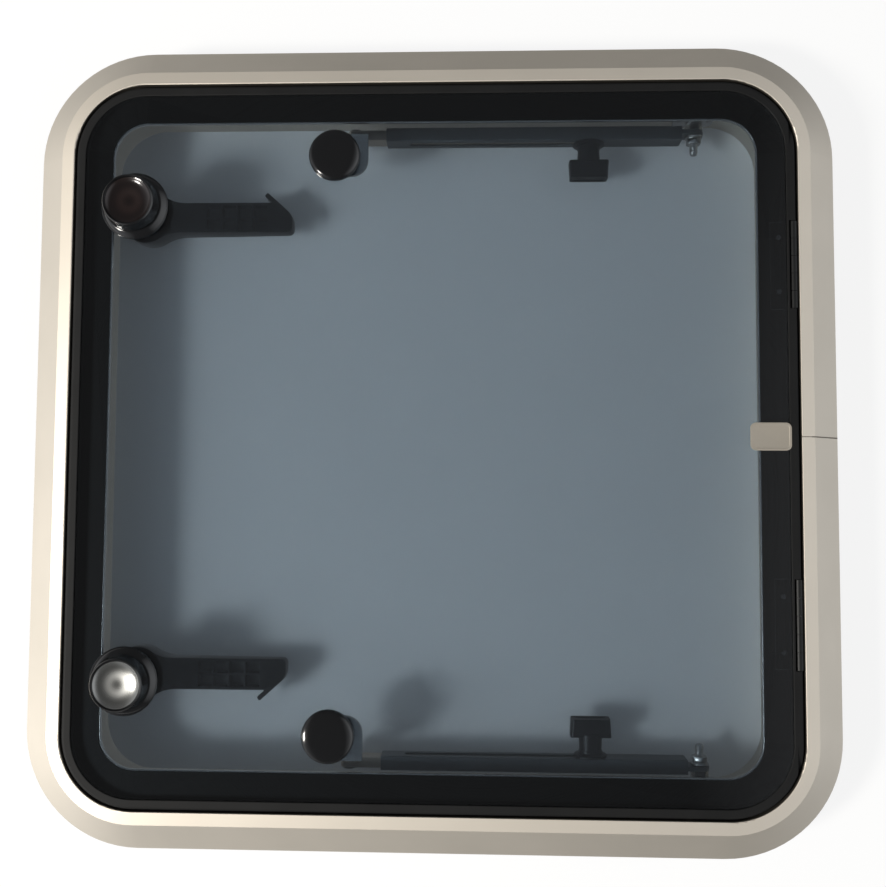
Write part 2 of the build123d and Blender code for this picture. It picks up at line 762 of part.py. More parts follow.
with BuildPart() as stay_bolt:
    with BuildSketch(front_face(spigot_inner - stay_bolt_reach, stay_pivot_x, stay_pivot_z)):
        Circle(stay_bolt_radius)
    extrude(amount=stay_bolt_reach)
    fillet(stay_bolt.edges().sort_by(Axis.Y)[-1], stay_bolt_edge_radius)
write_pair(stay_bolt, "stay_bolt")

washer_outer_y = eye_inner_y - running_gap
nut_outer_y = washer_outer_y - stay_washer_thickness
nut_inner_y = nut_outer_y - stay_nut_height
with BuildPart() as stay_nut:
    with BuildSketch(front_face(nut_outer_y, stay_pivot_x, stay_pivot_z)):
        Circle(stay_washer_radius)
    extrude(amount=stay_washer_thickness)
    with BuildSketch(front_face(nut_inner_y, stay_pivot_x, stay_pivot_z)):
        RegularPolygon(stay_nut_flats / 2, 6, major_radius=False)
    extrude(amount=stay_nut_height)
    with BuildSketch(front_face(nut_inner_y, stay_pivot_x, stay_pivot_z)):
        Circle(stay_bolt_radius)
    extrude(amount=washer_outer_y - nut_inner_y, mode=Mode.SUBTRACT)
write_pair(stay_nut, "stay_nut")

# Stay channels: a slotted tube with its plugged end drawn out to the pivot eye
slot_end_x = clamp_x + slot_end_room
channel_middle_y = (channel_outer_y + channel_inner_y) / 2
with BuildPart() as stay_channel:
    with BuildSketch(Plane.YZ.offset(channel_start_x)):
        with Locations((-channel_middle_y, stay_pivot_z)):
            RectangleRounded(channel_width, channel_height, channel_edge_radius)
    extrude(amount=channel_end_x - channel_start_x)
    with BuildSketch(Plane.YZ.offset(channel_start_x)):
        with Locations((-channel_middle_y, stay_pivot_z)):
            Rectangle(channel_width - 2 * channel_wall, channel_height - 2 * channel_wall)
    extrude(amount=channel_end_x - channel_plug - channel_start_x, mode=Mode.SUBTRACT)
    with BuildSketch(front_face(channel_inner_y)):
        with Locations(((slot_start_x + slot_end_x) / 2, stay_pivot_z)):
            SlotOverall(slot_end_x - slot_start_x, slot_height)
    extrude(amount=channel_wall, mode=Mode.SUBTRACT)
    with BuildSketch(front_face(eye_inner_y)):
        with Locations((stay_pivot_x, stay_pivot_z)):
            Circle(eye_radius)
            Rectangle(stay_pivot_x - channel_end_x, 2 * eye_radius, align=(Align.MAX, Align.CENTER))
            Circle(stay_bolt_radius + running_clearance, mode=Mode.SUBTRACT)
    extrude(amount=eye_thickness)
write_pair(stay_channel, "stay_channel")

# Stay bars, which slide in the channels
with BuildPart() as stay_bar:
    with BuildSketch(front_face(bar_inner_y)):
        with Locations((stay_lid_pivot_x, stay_pivot_z)):
            Circle(bar_height / 2)
            Rectangle(bar_tail_x - stay_lid_pivot_x, bar_height, align=(Align.MIN, Align.CENTER))
            Circle(rivet_radius, mode=Mode.SUBTRACT)
        with Locations((clamp_x, stay_pivot_z)):
            Circle(clamp_stud_radius + running_clearance, mode=Mode.SUBTRACT)
    extrude(amount=bar_width)
write_pair(stay_bar, "stay_bar")

with BuildPart() as stay_rivet:
    with BuildSketch(front_face(ear_outer_y + running_gap, stay_lid_pivot_x, stay_pivot_z)):
        Circle(rivet_collar_radius)
    extrude(amount=bar_inner_y - ear_outer_y - running_gap)
    with BuildSketch(front_face(bar_inner_y, stay_lid_pivot_x, stay_pivot_z)):
        Circle(rivet_radius)
    extrude(amount=bar_width)
    with BuildSketch(front_face(bar_outer_y, stay_lid_pivot_x, stay_pivot_z)):
        Circle(rivet_head_radius)
    extrude(amount=rivet_head_height)
write_pair(stay_rivet, "stay_rivet")

# Clamp knobs with their studs
with BuildPart() as stay_knob:
    with BuildSketch(front_face(clamp_stem_y, clamp_x, stay_pivot_z)):
        Circle(clamp_flange_radius)
    extrude(amount=clamp_flange_thickness)
    with BuildSketch(front_face(clamp_head_y, clamp_x, stay_pivot_z)):
        Circle(clamp_stem_radius)
    extrude(amount=clamp_stem_length)
    with BuildSketch(front_face(clamp_end_y, clamp_x, stay_pivot_z)):
        RectangleRounded(clamp_head_width, clamp_head_depth, clamp_edge_radius)
    extrude(amount=clamp_head_length)
    fillet(stay_knob.faces().sort_by(Axis.Y)[-1].edges(), clamp_edge_radius / 2)
    with BuildSketch(front_face(clamp_flange_y - clamp_stud_in_knob, clamp_x, stay_pivot_z)):
        Circle(clamp_stud_radius)
    extrude(amount=clamp_stud_in_knob, mode=Mode.SUBTRACT)
write_pair(stay_knob, "stay_knob")

with BuildPart() as stay_knob_stud:
    with BuildSketch(front_face(clamp_flange_y - clamp_stud_in_knob, clamp_x, stay_pivot_z)):
        Circle(clamp_stud_radius)
    extrude(amount=bar_inner_y + clamp_stud_in_bar - clamp_flange_y + clamp_stud_in_knob)
write_pair(stay_knob_stud, "stay_knob_stud")

# Lid ends of the stays: domed cap and washer on the lens, stud and nut through it, bracket below
cap_profile = front_face(cap_y, cap_x)
cap_axis = Axis((cap_x, -cap_y, 0), (0, 0, 1))
with BuildPart() as stay_cap:
    with BuildSketch(cap_profile) as cap_section:
        with BuildLine():
            Polyline((0, cap_bottom), (cap_radius, cap_bottom), (cap_radius, cap_bottom + cap_side_height))
            TangentArc(
                (0, cap_bottom + cap_height),
                (cap_radius, cap_bottom + cap_side_height),
                tangent=(1, 0),
            )
            Line((0, cap_bottom + cap_height), (0, cap_bottom))
        make_face()
        fillet(cap_section.vertices().group_by(Axis.X)[-1].sort_by(Axis.Y)[-1], cap_edge_radius)
    revolve(axis=cap_axis)
    with BuildSketch(Plane((cap_x, -cap_y, cap_bottom))):
        Circle(stud_radius)
    extrude(amount=stud_in_cap, mode=Mode.SUBTRACT)
write_pair(stay_cap, "stay_cap")

with BuildPart() as stay_cap_washer:
    with BuildSketch(Plane((cap_x, -cap_y, lens_top))):
        Circle(cap_washer_radius)
        Circle(stud_radius + barrel_clearance, mode=Mode.SUBTRACT)
    extrude(amount=cap_washer_thickness)
write_pair(stay_cap_washer, "stay_cap_washer")

stud_bottom = stud_nut_bottom - stud_below_nut
with BuildPart() as stay_stud:
    with BuildSketch(Plane((cap_x, -cap_y, stud_bottom))):
        Circle(stud_radius)
    extrude(amount=cap_bottom + stud_in_cap - stud_bottom)
write_pair(stay_stud, "stay_stud")

with BuildPart() as stay_stud_nut:
    with BuildSketch(Plane((cap_x, -cap_y, stud_nut_bottom))):
        RegularPolygon(stud_nut_flats / 2, 6, major_radius=False)
        Circle(stud_radius, mode=Mode.SUBTRACT)
    extrude(amount=stud_nut_height)
write_pair(stay_stud_nut, "stay_stud_nut")

with BuildPart() as stay_bracket:
    with BuildSketch(Plane.XY.offset(bracket_bottom)) as bracket_plate:
        with Locations(((cap_x + stay_lid_pivot_x) / 2, -ear_outer_y)):
            Rectangle(bracket_length, ear_outer_y - bracket_inner_y, align=(Align.CENTER, Align.MIN))
        fillet(bracket_plate.vertices().group_by(Axis.Y)[-1], bracket_corner_radius)
        with Locations((cap_x, -cap_y)):
            Circle(stud_radius + barrel_clearance, mode=Mode.SUBTRACT)
    extrude(amount=bracket_thickness)
    with BuildSketch(front_face(ear_inner_y, stay_lid_pivot_x, stay_pivot_z)):
        with BuildLine():
            ear_top = lens_bottom - stay_pivot_z
            Polyline(
                (-ear_radius, 0),
                (-ear_top_width / 2, ear_top),
                (ear_top_width / 2, ear_top),
                (ear_radius, 0),
            )
            RadiusArc((ear_radius, 0), (-ear_radius, 0), -ear_radius)
        make_face()
        Circle(ear_hole_radius, mode=Mode.SUBTRACT)
    extrude(amount=bracket_thickness)
write_pair(stay_bracket, "stay_bracket")
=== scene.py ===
import bmesh
import bpy
from math import atan2, cos, pi, radians, sin, tan
from mathutils import Matrix, Vector


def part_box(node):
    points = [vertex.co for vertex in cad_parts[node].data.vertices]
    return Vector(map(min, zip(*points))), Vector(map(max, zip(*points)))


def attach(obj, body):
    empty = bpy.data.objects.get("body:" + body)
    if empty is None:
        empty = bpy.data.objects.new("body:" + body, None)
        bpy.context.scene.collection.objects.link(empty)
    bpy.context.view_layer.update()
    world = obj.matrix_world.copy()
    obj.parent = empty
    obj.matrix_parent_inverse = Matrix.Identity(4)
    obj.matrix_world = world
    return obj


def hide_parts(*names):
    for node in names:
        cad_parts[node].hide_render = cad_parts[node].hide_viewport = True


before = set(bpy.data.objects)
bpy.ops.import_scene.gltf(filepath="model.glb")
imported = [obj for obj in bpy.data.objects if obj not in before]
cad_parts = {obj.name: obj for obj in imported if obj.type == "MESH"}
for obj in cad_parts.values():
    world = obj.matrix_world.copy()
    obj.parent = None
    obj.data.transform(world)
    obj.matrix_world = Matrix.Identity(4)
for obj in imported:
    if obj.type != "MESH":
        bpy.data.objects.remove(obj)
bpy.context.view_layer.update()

mm = 0.001
scene = bpy.context.scene
scene.view_settings.view_transform = "Standard"


def linearColour(hexText):
    # sRGB hex as a painter reads it, turned to the linear values that a shader takes
    channels = [int(hexText[i:i + 2], 16) / 255 for i in (1, 3, 5)]
    return tuple(c / 12.92 if c <= 0.04045 else ((c + 0.055) / 1.055) ** 2.4 for c in channels) + (1.0,)


def addNode(tree, kind, settings=None, links=None):
    node = tree.nodes.new(kind)
    for name, value in (settings or {}).items():
        if isinstance(name, int) or name in node.inputs:
            node.inputs[name].default_value = value
        else:
            setattr(node, name, value)
    for name, source in (links or {}).items():
        tree.links.new(source, node.inputs[name])
    return node


def startMaterial(name):
    material = bpy.data.materials.new(name)
    material.use_nodes = True
    tree = material.node_tree
    tree.nodes.clear()
    place = addNode(tree, "ShaderNodeTexCoord").outputs["Object"]
    return material, tree, place


def finishMaterial(material, surface):
    addNode(material.node_tree, "ShaderNodeOutputMaterial", links={"Surface": surface.outputs[0]})
    return material


# Camera over the middle of the hatch, a little towards the near right corner, with the far side up
view = {"place": (0.0338, -0.0398, 0.70), "target": (0.0096, -0.0009, 0.010), "roll": -0.0056, "lens": 38.0,
        "sensor": 36.0}
cameraData = bpy.data.cameras.new("camera")
cameraData.lens = view["lens"]
cameraData.sensor_width = view["sensor"]
cameraData.clip_start = 0.01
camera = bpy.data.objects.new("camera", cameraData)
scene.collection.objects.link(camera)
backward = (Vector(view["place"]) - Vector(view["target"])).normalized()
rightward = Vector((sin(view["roll"]), cos(view["roll"]), 0)).cross(backward).normalized()
upward = backward.cross(rightward)
turn = Matrix((rightward, upward, backward)).transposed().to_4x4()
camera.matrix_world = Matrix.Translation(view["place"]) @ turn
scene.camera = camera
print("camera set")

# Pale floor that the spigot stands on, and the light: a window at the left and a soft room
studio = {"floorHeight": -0.0322, "floorSize": 80.0, "floorColour": "#E9E8E5", "floorWhite": 0.85,
          "floorInLens": 0.06, "floorInGloss": 0.8, "glossFar": 0.24, "glossNear": 1.0, "glossFrom": -0.1,
          "glossTo": 0.7, "windowSide": (-0.96, -0.28, 0.0), "windowGlowFrom": 0.5, "windowGlowTo": 0.95,
          "doorSide": (0.93, -0.06, 0.36), "doorGlowFrom": 0.55, "doorGlowTo": 1.0, "roomColour": "#EEF1F5",
          "roomStrength": 0.21, "roomWindowSide": 1.35, "roomDoorSide": 1.6, "roomWhite": 1.16,
          "roomInLens": 0.8}
bm = bmesh.new()
bmesh.ops.create_grid(bm, x_segments=1, y_segments=1, size=studio["floorSize"] / 2)
bmesh.ops.translate(bm, verts=bm.verts, vec=(0, 0, studio["floorHeight"]))
floorMesh = bpy.data.meshes.new("floor")
bm.to_mesh(floorMesh)
bm.free()
floor = bpy.data.objects.new("floor", floorMesh)
scene.collection.objects.link(floor)
paperMaterial, tree, place = startMaterial("matte backdrop paper")
paper = addNode(tree, "ShaderNodeBsdfDiffuse", {"Color": linearColour(studio["floorColour"])})
white = addNode(tree, "ShaderNodeEmission", {"Color": (1, 1, 1, 1), "Strength": 1.0})
floorRay = addNode(tree, "ShaderNodeLightPath")
eyeShare = addNode(tree, "ShaderNodeMath", {"operation": "MULTIPLY", 1: studio["floorWhite"]}, {
    0: floorRay.outputs["Is Camera Ray"]})
lensShare = addNode(tree, "ShaderNodeMath", {"operation": "MULTIPLY", 1: studio["floorInLens"]}, {
    0: floorRay.outputs["Is Transmission Ray"]})
share = addNode(tree, "ShaderNodeMath", {"operation": "MAXIMUM"},
                {0: eyeShare.outputs[0], 1: lensShare.outputs[0]})
shown = addNode(tree, "ShaderNodeMixShader",
                links={0: share.outputs[0], 1: paper.outputs[0], 2: white.outputs[0]})
# In gloss the paper glows pale towards the window and falls off to grey away from it: a painted reflection
# of the window's light
floorWindowward = addNode(tree, "ShaderNodeVectorMath",
                          {"operation": "DOT_PRODUCT", 1: studio["windowSide"]}, {0: place})
paleness = addNode(tree, "ShaderNodeMapRange",
                   {"From Min": studio["glossFrom"], "From Max": studio["glossTo"],
                    "To Min": studio["glossFar"], "To Max": studio["glossNear"]},
                   {"Value": floorWindowward.outputs["Value"]})
glossLook = addNode(tree, "ShaderNodeEmission", {"Color": (1, 1, 1, 1)}, {"Strength": paleness.outputs[0]})
inGloss = addNode(tree, "ShaderNodeMath", {"operation": "SUBTRACT", "use_clamp": True}, {
    0: floorRay.outputs["Is Glossy Ray"], 1: floorRay.outputs["Is Transmission Ray"]})
glossShare = addNode(tree, "ShaderNodeMath", {"operation": "MULTIPLY", 1: studio["floorInGloss"]},
                     {0: inGloss.outputs[0]})
floorLook = addNode(tree, "ShaderNodeMixShader", links={
    0: glossShare.outputs[0], 1: shown.outputs[0], 2: glossLook.outputs[0]})
floorMesh.materials.append(finishMaterial(paperMaterial, floorLook))

# The room: a soft glow from the window's side and a weaker one from a doorway, white to the eye
world = bpy.data.worlds.new("room")
scene.world = world
world.use_nodes = True
tree = world.node_tree
background = tree.nodes["Background"]
background.inputs["Color"].default_value = linearColour(studio["roomColour"])
heading = addNode(tree, "ShaderNodeTexCoord").outputs["Generated"]
roomWindowward = addNode(tree, "ShaderNodeVectorMath",
                         {"operation": "DOT_PRODUCT", 1: studio["windowSide"]}, {0: heading})
windowGlow = addNode(tree, "ShaderNodeMapRange",
                     {"From Min": studio["windowGlowFrom"], "From Max": studio["windowGlowTo"],
                      "To Min": studio["roomStrength"], "To Max": studio["roomWindowSide"]},
                     {"Value": roomWindowward.outputs["Value"]})
doorward = addNode(tree, "ShaderNodeVectorMath", {"operation": "DOT_PRODUCT", 1: studio["doorSide"]},
                   {0: heading})
doorGlow = addNode(tree, "ShaderNodeMapRange",
                   {"From Min": studio["doorGlowFrom"], "From Max": studio["doorGlowTo"], "To Min": 0.0,
                    "To Max": studio["roomDoorSide"]}, {"Value": doorward.outputs["Value"]})
glow = addNode(tree, "ShaderNodeMath", {"operation": "ADD"},
               {0: windowGlow.outputs[0], 1: doorGlow.outputs[0]})
roomRay = addNode(tree, "ShaderNodeLightPath")
lensWhite = addNode(tree, "ShaderNodeMath", {"operation": "MULTIPLY", 1: studio["roomInLens"]}, {
    0: roomRay.outputs["Is Transmission Ray"]})
strength = addNode(tree, "ShaderNodeMath", {"operation": "MAXIMUM"},
                   {0: glow.outputs[0], 1: lensWhite.outputs[0]})
eyeStrength = addNode(tree, "ShaderNodeMix", {"data_type": "FLOAT", 3: studio["roomWhite"]}, {
    0: roomRay.outputs["Is Camera Ray"], 2: strength.outputs[0]})
tree.links.new(eyeStrength.outputs[0], background.inputs["Strength"])

# The window itself, a plain area lamp that neither the eye nor the lens sees
window = {"place": (-1.83, -0.72, 1.56), "target": (0.0, 0.0, 0.0), "size": (0.45, 0.45), "power": 81,
          "colour": "#FFFBF4"}
light = bpy.data.lights.new("window", "AREA")
light.shape = "RECTANGLE"
light.size, light.size_y = window["size"]
light.energy = window["power"]
light.color = linearColour(window["colour"])[:3]
windowLamp = bpy.data.objects.new("window", light)
scene.collection.objects.link(windowLamp)
windowLamp.location = window["place"]
windowLamp.visible_camera = False
windowLamp.visible_transmission = False
aim = Vector(window["target"]) - Vector(window["place"])
windowLamp.rotation_euler = aim.to_track_quat("-Z", "Y").to_euler()
print("floor, room and window lamp set")


def makeAnodisedRim():
    # Aluminium extrusion, anodised clear: a soft even sheen. The narrow band by the gasket is painted a
    # little paler and the outer slope darker, as painted light and shade of the window.
    # The etched grain is finer than grainSize and is drawn this coarse so that it shows
    look = {"tone": "#D9D1C4", "shade": "#CDC5B9", "slopeShadedTone": "#CEC6BA", "slopeShadedDark": "#C1BAAE",
            "lipPaintedShade": "#4A4640", "grainSize": 0.7, "cloudSize": 60.0, "round": 86.0, "band": 22.0,
            "bandBlur": 0.3, "lip": 31.4, "lipBlur": 0.4, "lipFoot": 10.0, "lipTop": 13.0,
            "slopeRough": 0.45, "topRough": 0.6}
    material, tree, place = startMaterial("satin anodised aluminium")
    grain = addNode(tree, "ShaderNodeTexNoise", {"Scale": 1 / (look["grainSize"] * mm), "Detail": 2.0},
                    {"Vector": place})
    cloud = addNode(tree, "ShaderNodeTexNoise", {"Scale": 1 / (look["cloudSize"] * mm), "Detail": 3.0},
                    {"Vector": place})
    # Paler pair of tones for the flat band and a darker pair for the outer slope: painted light and painted
    # shade
    top = addNode(tree, "ShaderNodeMix",
                  {"data_type": "RGBA", 6: linearColour(look["shade"]), 7: linearColour(look["tone"])},
                  {0: cloud.outputs["Fac"]})
    slopePaintedShade = addNode(tree, "ShaderNodeMix",
                     {"data_type": "RGBA", 6: linearColour(look["slopeShadedDark"]),
                      7: linearColour(look["slopeShadedTone"])}, {0: cloud.outputs["Fac"]})
    # How far inside the rounded square outline of the rim a point lies
    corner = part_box("base_frame")[1].x - look["round"] * mm
    folded = addNode(tree, "ShaderNodeVectorMath", {"operation": "ABSOLUTE"}, {0: place})
    shifted = addNode(tree, "ShaderNodeVectorMath", {"operation": "SUBTRACT", 1: (corner, corner, 0)},
                      {0: folded.outputs[0]})
    inCorner = addNode(tree, "ShaderNodeVectorMath", {"operation": "MAXIMUM", 1: (0, 0, 0)},
                       {0: shifted.outputs[0]})
    flat = addNode(tree, "ShaderNodeVectorMath", {"operation": "MULTIPLY", 1: (1, 1, 0)},
                   {0: inCorner.outputs[0]})
    reach = addNode(tree, "ShaderNodeVectorMath", {"operation": "LENGTH"}, {0: flat.outputs[0]})
    inset = addNode(tree, "ShaderNodeMath", {"operation": "SUBTRACT", 0: look["round"] * mm},
                    {1: reach.outputs["Value"]})
    onTop = addNode(tree, "ShaderNodeMapRange",
                    {"From Min": (look["band"] - look["bandBlur"]) * mm,
                     "From Max": (look["band"] + look["bandBlur"]) * mm}, {"Value": inset.outputs[0]})
    # The lip that faces the gasket is painted dark: painted shade that takes away its glint
    onLip = addNode(tree, "ShaderNodeMapRange",
                    {"From Min": look["lip"] * mm, "From Max": (look["lip"] + look["lipBlur"]) * mm},
                    {"Value": inset.outputs[0]})
    height = addNode(tree, "ShaderNodeSeparateXYZ", {}, {0: place})
    high = addNode(tree, "ShaderNodeMapRange",
                   {"From Min": look["lipFoot"] * mm, "From Max": look["lipTop"] * mm},
                   {"Value": height.outputs["Z"]})
    lip = addNode(tree, "ShaderNodeMath", {"operation": "MULTIPLY"},
                  {0: onLip.outputs[0], 1: high.outputs[0]})
    tone = addNode(tree, "ShaderNodeMix", {"data_type": "RGBA"},
                   {0: onTop.outputs[0], 6: slopePaintedShade.outputs[2], 7: top.outputs[2]})
    tone = addNode(tree, "ShaderNodeMix", {"data_type": "RGBA", 7: linearColour(look["lipPaintedShade"])}, {
        0: lip.outputs[0], 6: tone.outputs[2]})
    roughness = addNode(tree, "ShaderNodeMapRange",
                        {"To Min": look["slopeRough"], "To Max": look["topRough"]},
                        {"Value": onTop.outputs[0]})
    bump = addNode(tree, "ShaderNodeBump", {"Strength": 0.12, "Distance": 0.05 * mm},
                   {"Height": grain.outputs["Fac"]})
    surface = addNode(tree, "ShaderNodeBsdfPrincipled", {"Metallic": 0.8}, {
        "Base Color": tone.outputs[2], "Roughness": roughness.outputs[0], "Normal": bump.outputs[0]})
    return finishMaterial(material, surface)


def makeRubber():
    # Extruded EPDM: black with a low sheen, its skin slightly orange-peeled
    look = {"tone": "#101010", "worn": "#1A1A1A", "skinSize": 1.2, "dustSize": 25.0}
    material, tree, place = startMaterial("extruded EPDM rubber")
    skin = addNode(tree, "ShaderNodeTexNoise", {"Scale": 1 / (look["skinSize"] * mm), "Detail": 3.0},
                   {"Vector": place})
    dust = addNode(tree, "ShaderNodeTexNoise", {"Scale": 1 / (look["dustSize"] * mm), "Detail": 4.0},
                   {"Vector": place})
    tone = addNode(tree, "ShaderNodeMix",
                   {"data_type": "RGBA", 6: linearColour(look["tone"]), 7: linearColour(look["worn"])},
                   {0: dust.outputs["Fac"]})
    bump = addNode(tree, "ShaderNodeBump", {"Strength": 0.25, "Distance": 0.08 * mm},
                   {"Height": skin.outputs["Fac"]})
    surface = addNode(tree, "ShaderNodeBsdfPrincipled", {"Roughness": 0.68, "Specular IOR Level": 0.16}, {
        "Base Color": tone.outputs[2], "Normal": bump.outputs[0]})
    return finishMaterial(material, surface)


def makeTintedAcrylic():
    # Cast acrylic with a blue-grey smoke tint, polished: light passes once to the floor and back to the eye
    look = {"tint": "#8D969E", "shadeTint": "#C8CDD1", "rippleSize": 90.0}
    material, tree, place = startMaterial("tinted cast acrylic")
    ripple = addNode(tree, "ShaderNodeTexNoise", {"Scale": 1 / (look["rippleSize"] * mm), "Detail": 1.0},
                     {"Vector": place})
    bump = addNode(tree, "ShaderNodeBump", {"Strength": 0.03, "Distance": 1.0 * mm},
                   {"Height": ripple.outputs["Fac"]})
    clear = addNode(tree, "ShaderNodeBsdfPrincipled",
                    {"Base Color": linearColour(look["tint"]), "Transmission Weight": 1.0, "IOR": 1.49,
                     "Roughness": 0.0}, {"Normal": bump.outputs[0]})
    passing = addNode(tree, "ShaderNodeBsdfTransparent", {"Color": linearColour(look["shadeTint"])})
    path = addNode(tree, "ShaderNodeLightPath")
    mixed = addNode(tree, "ShaderNodeMixShader", links={
        0: path.outputs["Is Shadow Ray"], 1: clear.outputs[0], 2: passing.outputs[0]})
    return finishMaterial(material, mixed)


def makeBlackAnodised():
    # Black anodised aluminium strip: dark, with a dull even sheen and faint clouding
    look = {"tone": "#0E0E0E", "cloud": "#161717", "cloudSize": 18.0}
    material, tree, place = startMaterial("black anodised aluminium")
    cloud = addNode(tree, "ShaderNodeTexNoise", {"Scale": 1 / (look["cloudSize"] * mm), "Detail": 4.0},
                    {"Vector": place})
    tone = addNode(tree, "ShaderNodeMix",
                   {"data_type": "RGBA", 6: linearColour(look["tone"]), 7: linearColour(look["cloud"])},
                   {0: cloud.outputs["Fac"]})
    surface = addNode(tree, "ShaderNodeBsdfPrincipled",
                      {"Metallic": 0.2, "Roughness": 0.5, "Specular IOR Level": 0.3},
                      {"Base Color": tone.outputs[2]})
    return finishMaterial(material, surface)


def makeGlossBlack():
    # Injection-moulded ABS from a polished mould: near black, mirror-like, with faint sink ripples
    look = {"tone": "#0C0C0D", "rippleSize": 9.0, "scuffSize": 3.0}
    material, tree, place = startMaterial("gloss black moulded ABS")
    ripple = addNode(tree, "ShaderNodeTexNoise", {"Scale": 1 / (look["rippleSize"] * mm), "Detail": 1.0},
                     {"Vector": place})
    scuffs = addNode(tree, "ShaderNodeTexNoise", {"Scale": 1 / (look["scuffSize"] * mm), "Detail": 5.0},
                     {"Vector": place})
    roughness = addNode(tree, "ShaderNodeMapRange", {"To Min": 0.05, "To Max": 0.16},
                        {"Value": scuffs.outputs["Fac"]})
    bump = addNode(tree, "ShaderNodeBump", {"Strength": 0.05, "Distance": 0.3 * mm},
                   {"Height": ripple.outputs["Fac"]})
    surface = addNode(tree, "ShaderNodeBsdfPrincipled", {"Base Color": linearColour(look["tone"])}, {
        "Roughness": roughness.outputs[0], "Normal": bump.outputs[0]})
    return finishMaterial(material, surface)


def makeSatinBlack():
    # Glass-filled nylon from a spark-eroded mould: black with a fine leathery grain and a satin sheen
    look = {"tone": "#0A0A0B", "edge": "#111112", "grainSize": 0.5, "patchSize": 14.0}
    material, tree, place = startMaterial("satin black moulded nylon")
    grain = addNode(tree, "ShaderNodeTexVoronoi", {"Scale": 1 / (look["grainSize"] * mm)},
                    {"Vector": place})
    patches = addNode(tree, "ShaderNodeTexNoise", {"Scale": 1 / (look["patchSize"] * mm), "Detail": 3.0},
                      {"Vector": place})
    tone = addNode(tree, "ShaderNodeMix",
                   {"data_type": "RGBA", 6: linearColour(look["tone"]), 7: linearColour(look["edge"])},
                   {0: patches.outputs["Fac"]})
    roughness = addNode(tree, "ShaderNodeMapRange", {"To Min": 0.3, "To Max": 0.42},
                        {"Value": patches.outputs["Fac"]})
    bump = addNode(tree, "ShaderNodeBump", {"Strength": 0.1, "Distance": 0.04 * mm},
                   {"Height": grain.outputs["Distance"]})
    surface = addNode(tree, "ShaderNodeBsdfPrincipled", {"Specular IOR Level": 0.3}, {
        "Base Color": tone.outputs[2], "Roughness": roughness.outputs[0], "Normal": bump.outputs[0]})
    return finishMaterial(material, surface)


def makeStainless():
    # Turned and polished stainless steel: bright, with fine tool rings softened to short streaks,
    # which are drawn coarser than real ones so that they show
    look = {"tone": "#C9C8C4", "streakSize": 0.8}
    material, tree, place = startMaterial("polished stainless steel")
    streaks = addNode(tree, "ShaderNodeTexNoise", {"Scale": 1 / (look["streakSize"] * mm), "Detail": 3.0},
                      {"Vector": place})
    roughness = addNode(tree, "ShaderNodeMapRange", {"To Min": 0.16, "To Max": 0.3},
                        {"Value": streaks.outputs["Fac"]})
    surface = addNode(tree, "ShaderNodeBsdfPrincipled",
                      {"Base Color": linearColour(look["tone"]), "Metallic": 1.0},
                      {"Roughness": roughness.outputs[0]})
    return finishMaterial(material, surface)


def makeBrushedStay(name, toneHex, shadeHex, roughLow, roughHigh):
    # Drawn aluminium section, anodised: its fine lines run along the stay, and are drawn coarser than
    # real ones so that they show
    look = {"lineSize": 0.5, "alongShare": 0.04}
    material, tree, place = startMaterial(name)
    stretch = addNode(tree, "ShaderNodeMapping", {"Scale": (look["alongShare"], 1, 1)}, {"Vector": place})
    lines = addNode(tree, "ShaderNodeTexNoise", {"Scale": 1 / (look["lineSize"] * mm), "Detail": 3.0},
                    {"Vector": stretch.outputs[0]})
    tone = addNode(tree, "ShaderNodeMix",
                   {"data_type": "RGBA", 6: linearColour(shadeHex), 7: linearColour(toneHex)},
                   {0: lines.outputs["Fac"]})
    roughness = addNode(tree, "ShaderNodeMapRange", {"To Min": roughLow, "To Max": roughHigh},
                        {"Value": lines.outputs["Fac"]})
    bump = addNode(tree, "ShaderNodeBump", {"Strength": 0.12, "Distance": 0.05 * mm},
                   {"Height": lines.outputs["Fac"]})
    surface = addNode(tree, "ShaderNodeBsdfPrincipled", {"Metallic": 0.85}, {
        "Base Color": tone.outputs[2], "Roughness": roughness.outputs[0], "Normal": bump.outputs[0]})
    return finishMaterial(material, surface)


def makePlateFoil():
    # Aluminium foil plate with a matte silver lacquer, left bare: greyish, nearly even
    look = {"tone": "#A49C90", "shade": "#979084", "fleckSize": 0.6}
    material, tree, place = startMaterial("matte silver foil")
    fleck = addNode(tree, "ShaderNodeTexNoise", {"Scale": 1 / (look["fleckSize"] * mm), "Detail": 2.0},
                    {"Vector": place})
    tone = addNode(tree, "ShaderNodeMix",
                   {"data_type": "RGBA", 6: linearColour(look["shade"]), 7: linearColour(look["tone"])},
                   {0: fleck.outputs["Fac"]})
    surface = addNode(tree, "ShaderNodeBsdfPrincipled", {"Metallic": 0.4, "Roughness": 0.5},
                      {"Base Color": tone.outputs[2]})
    return finishMaterial(material, surface)


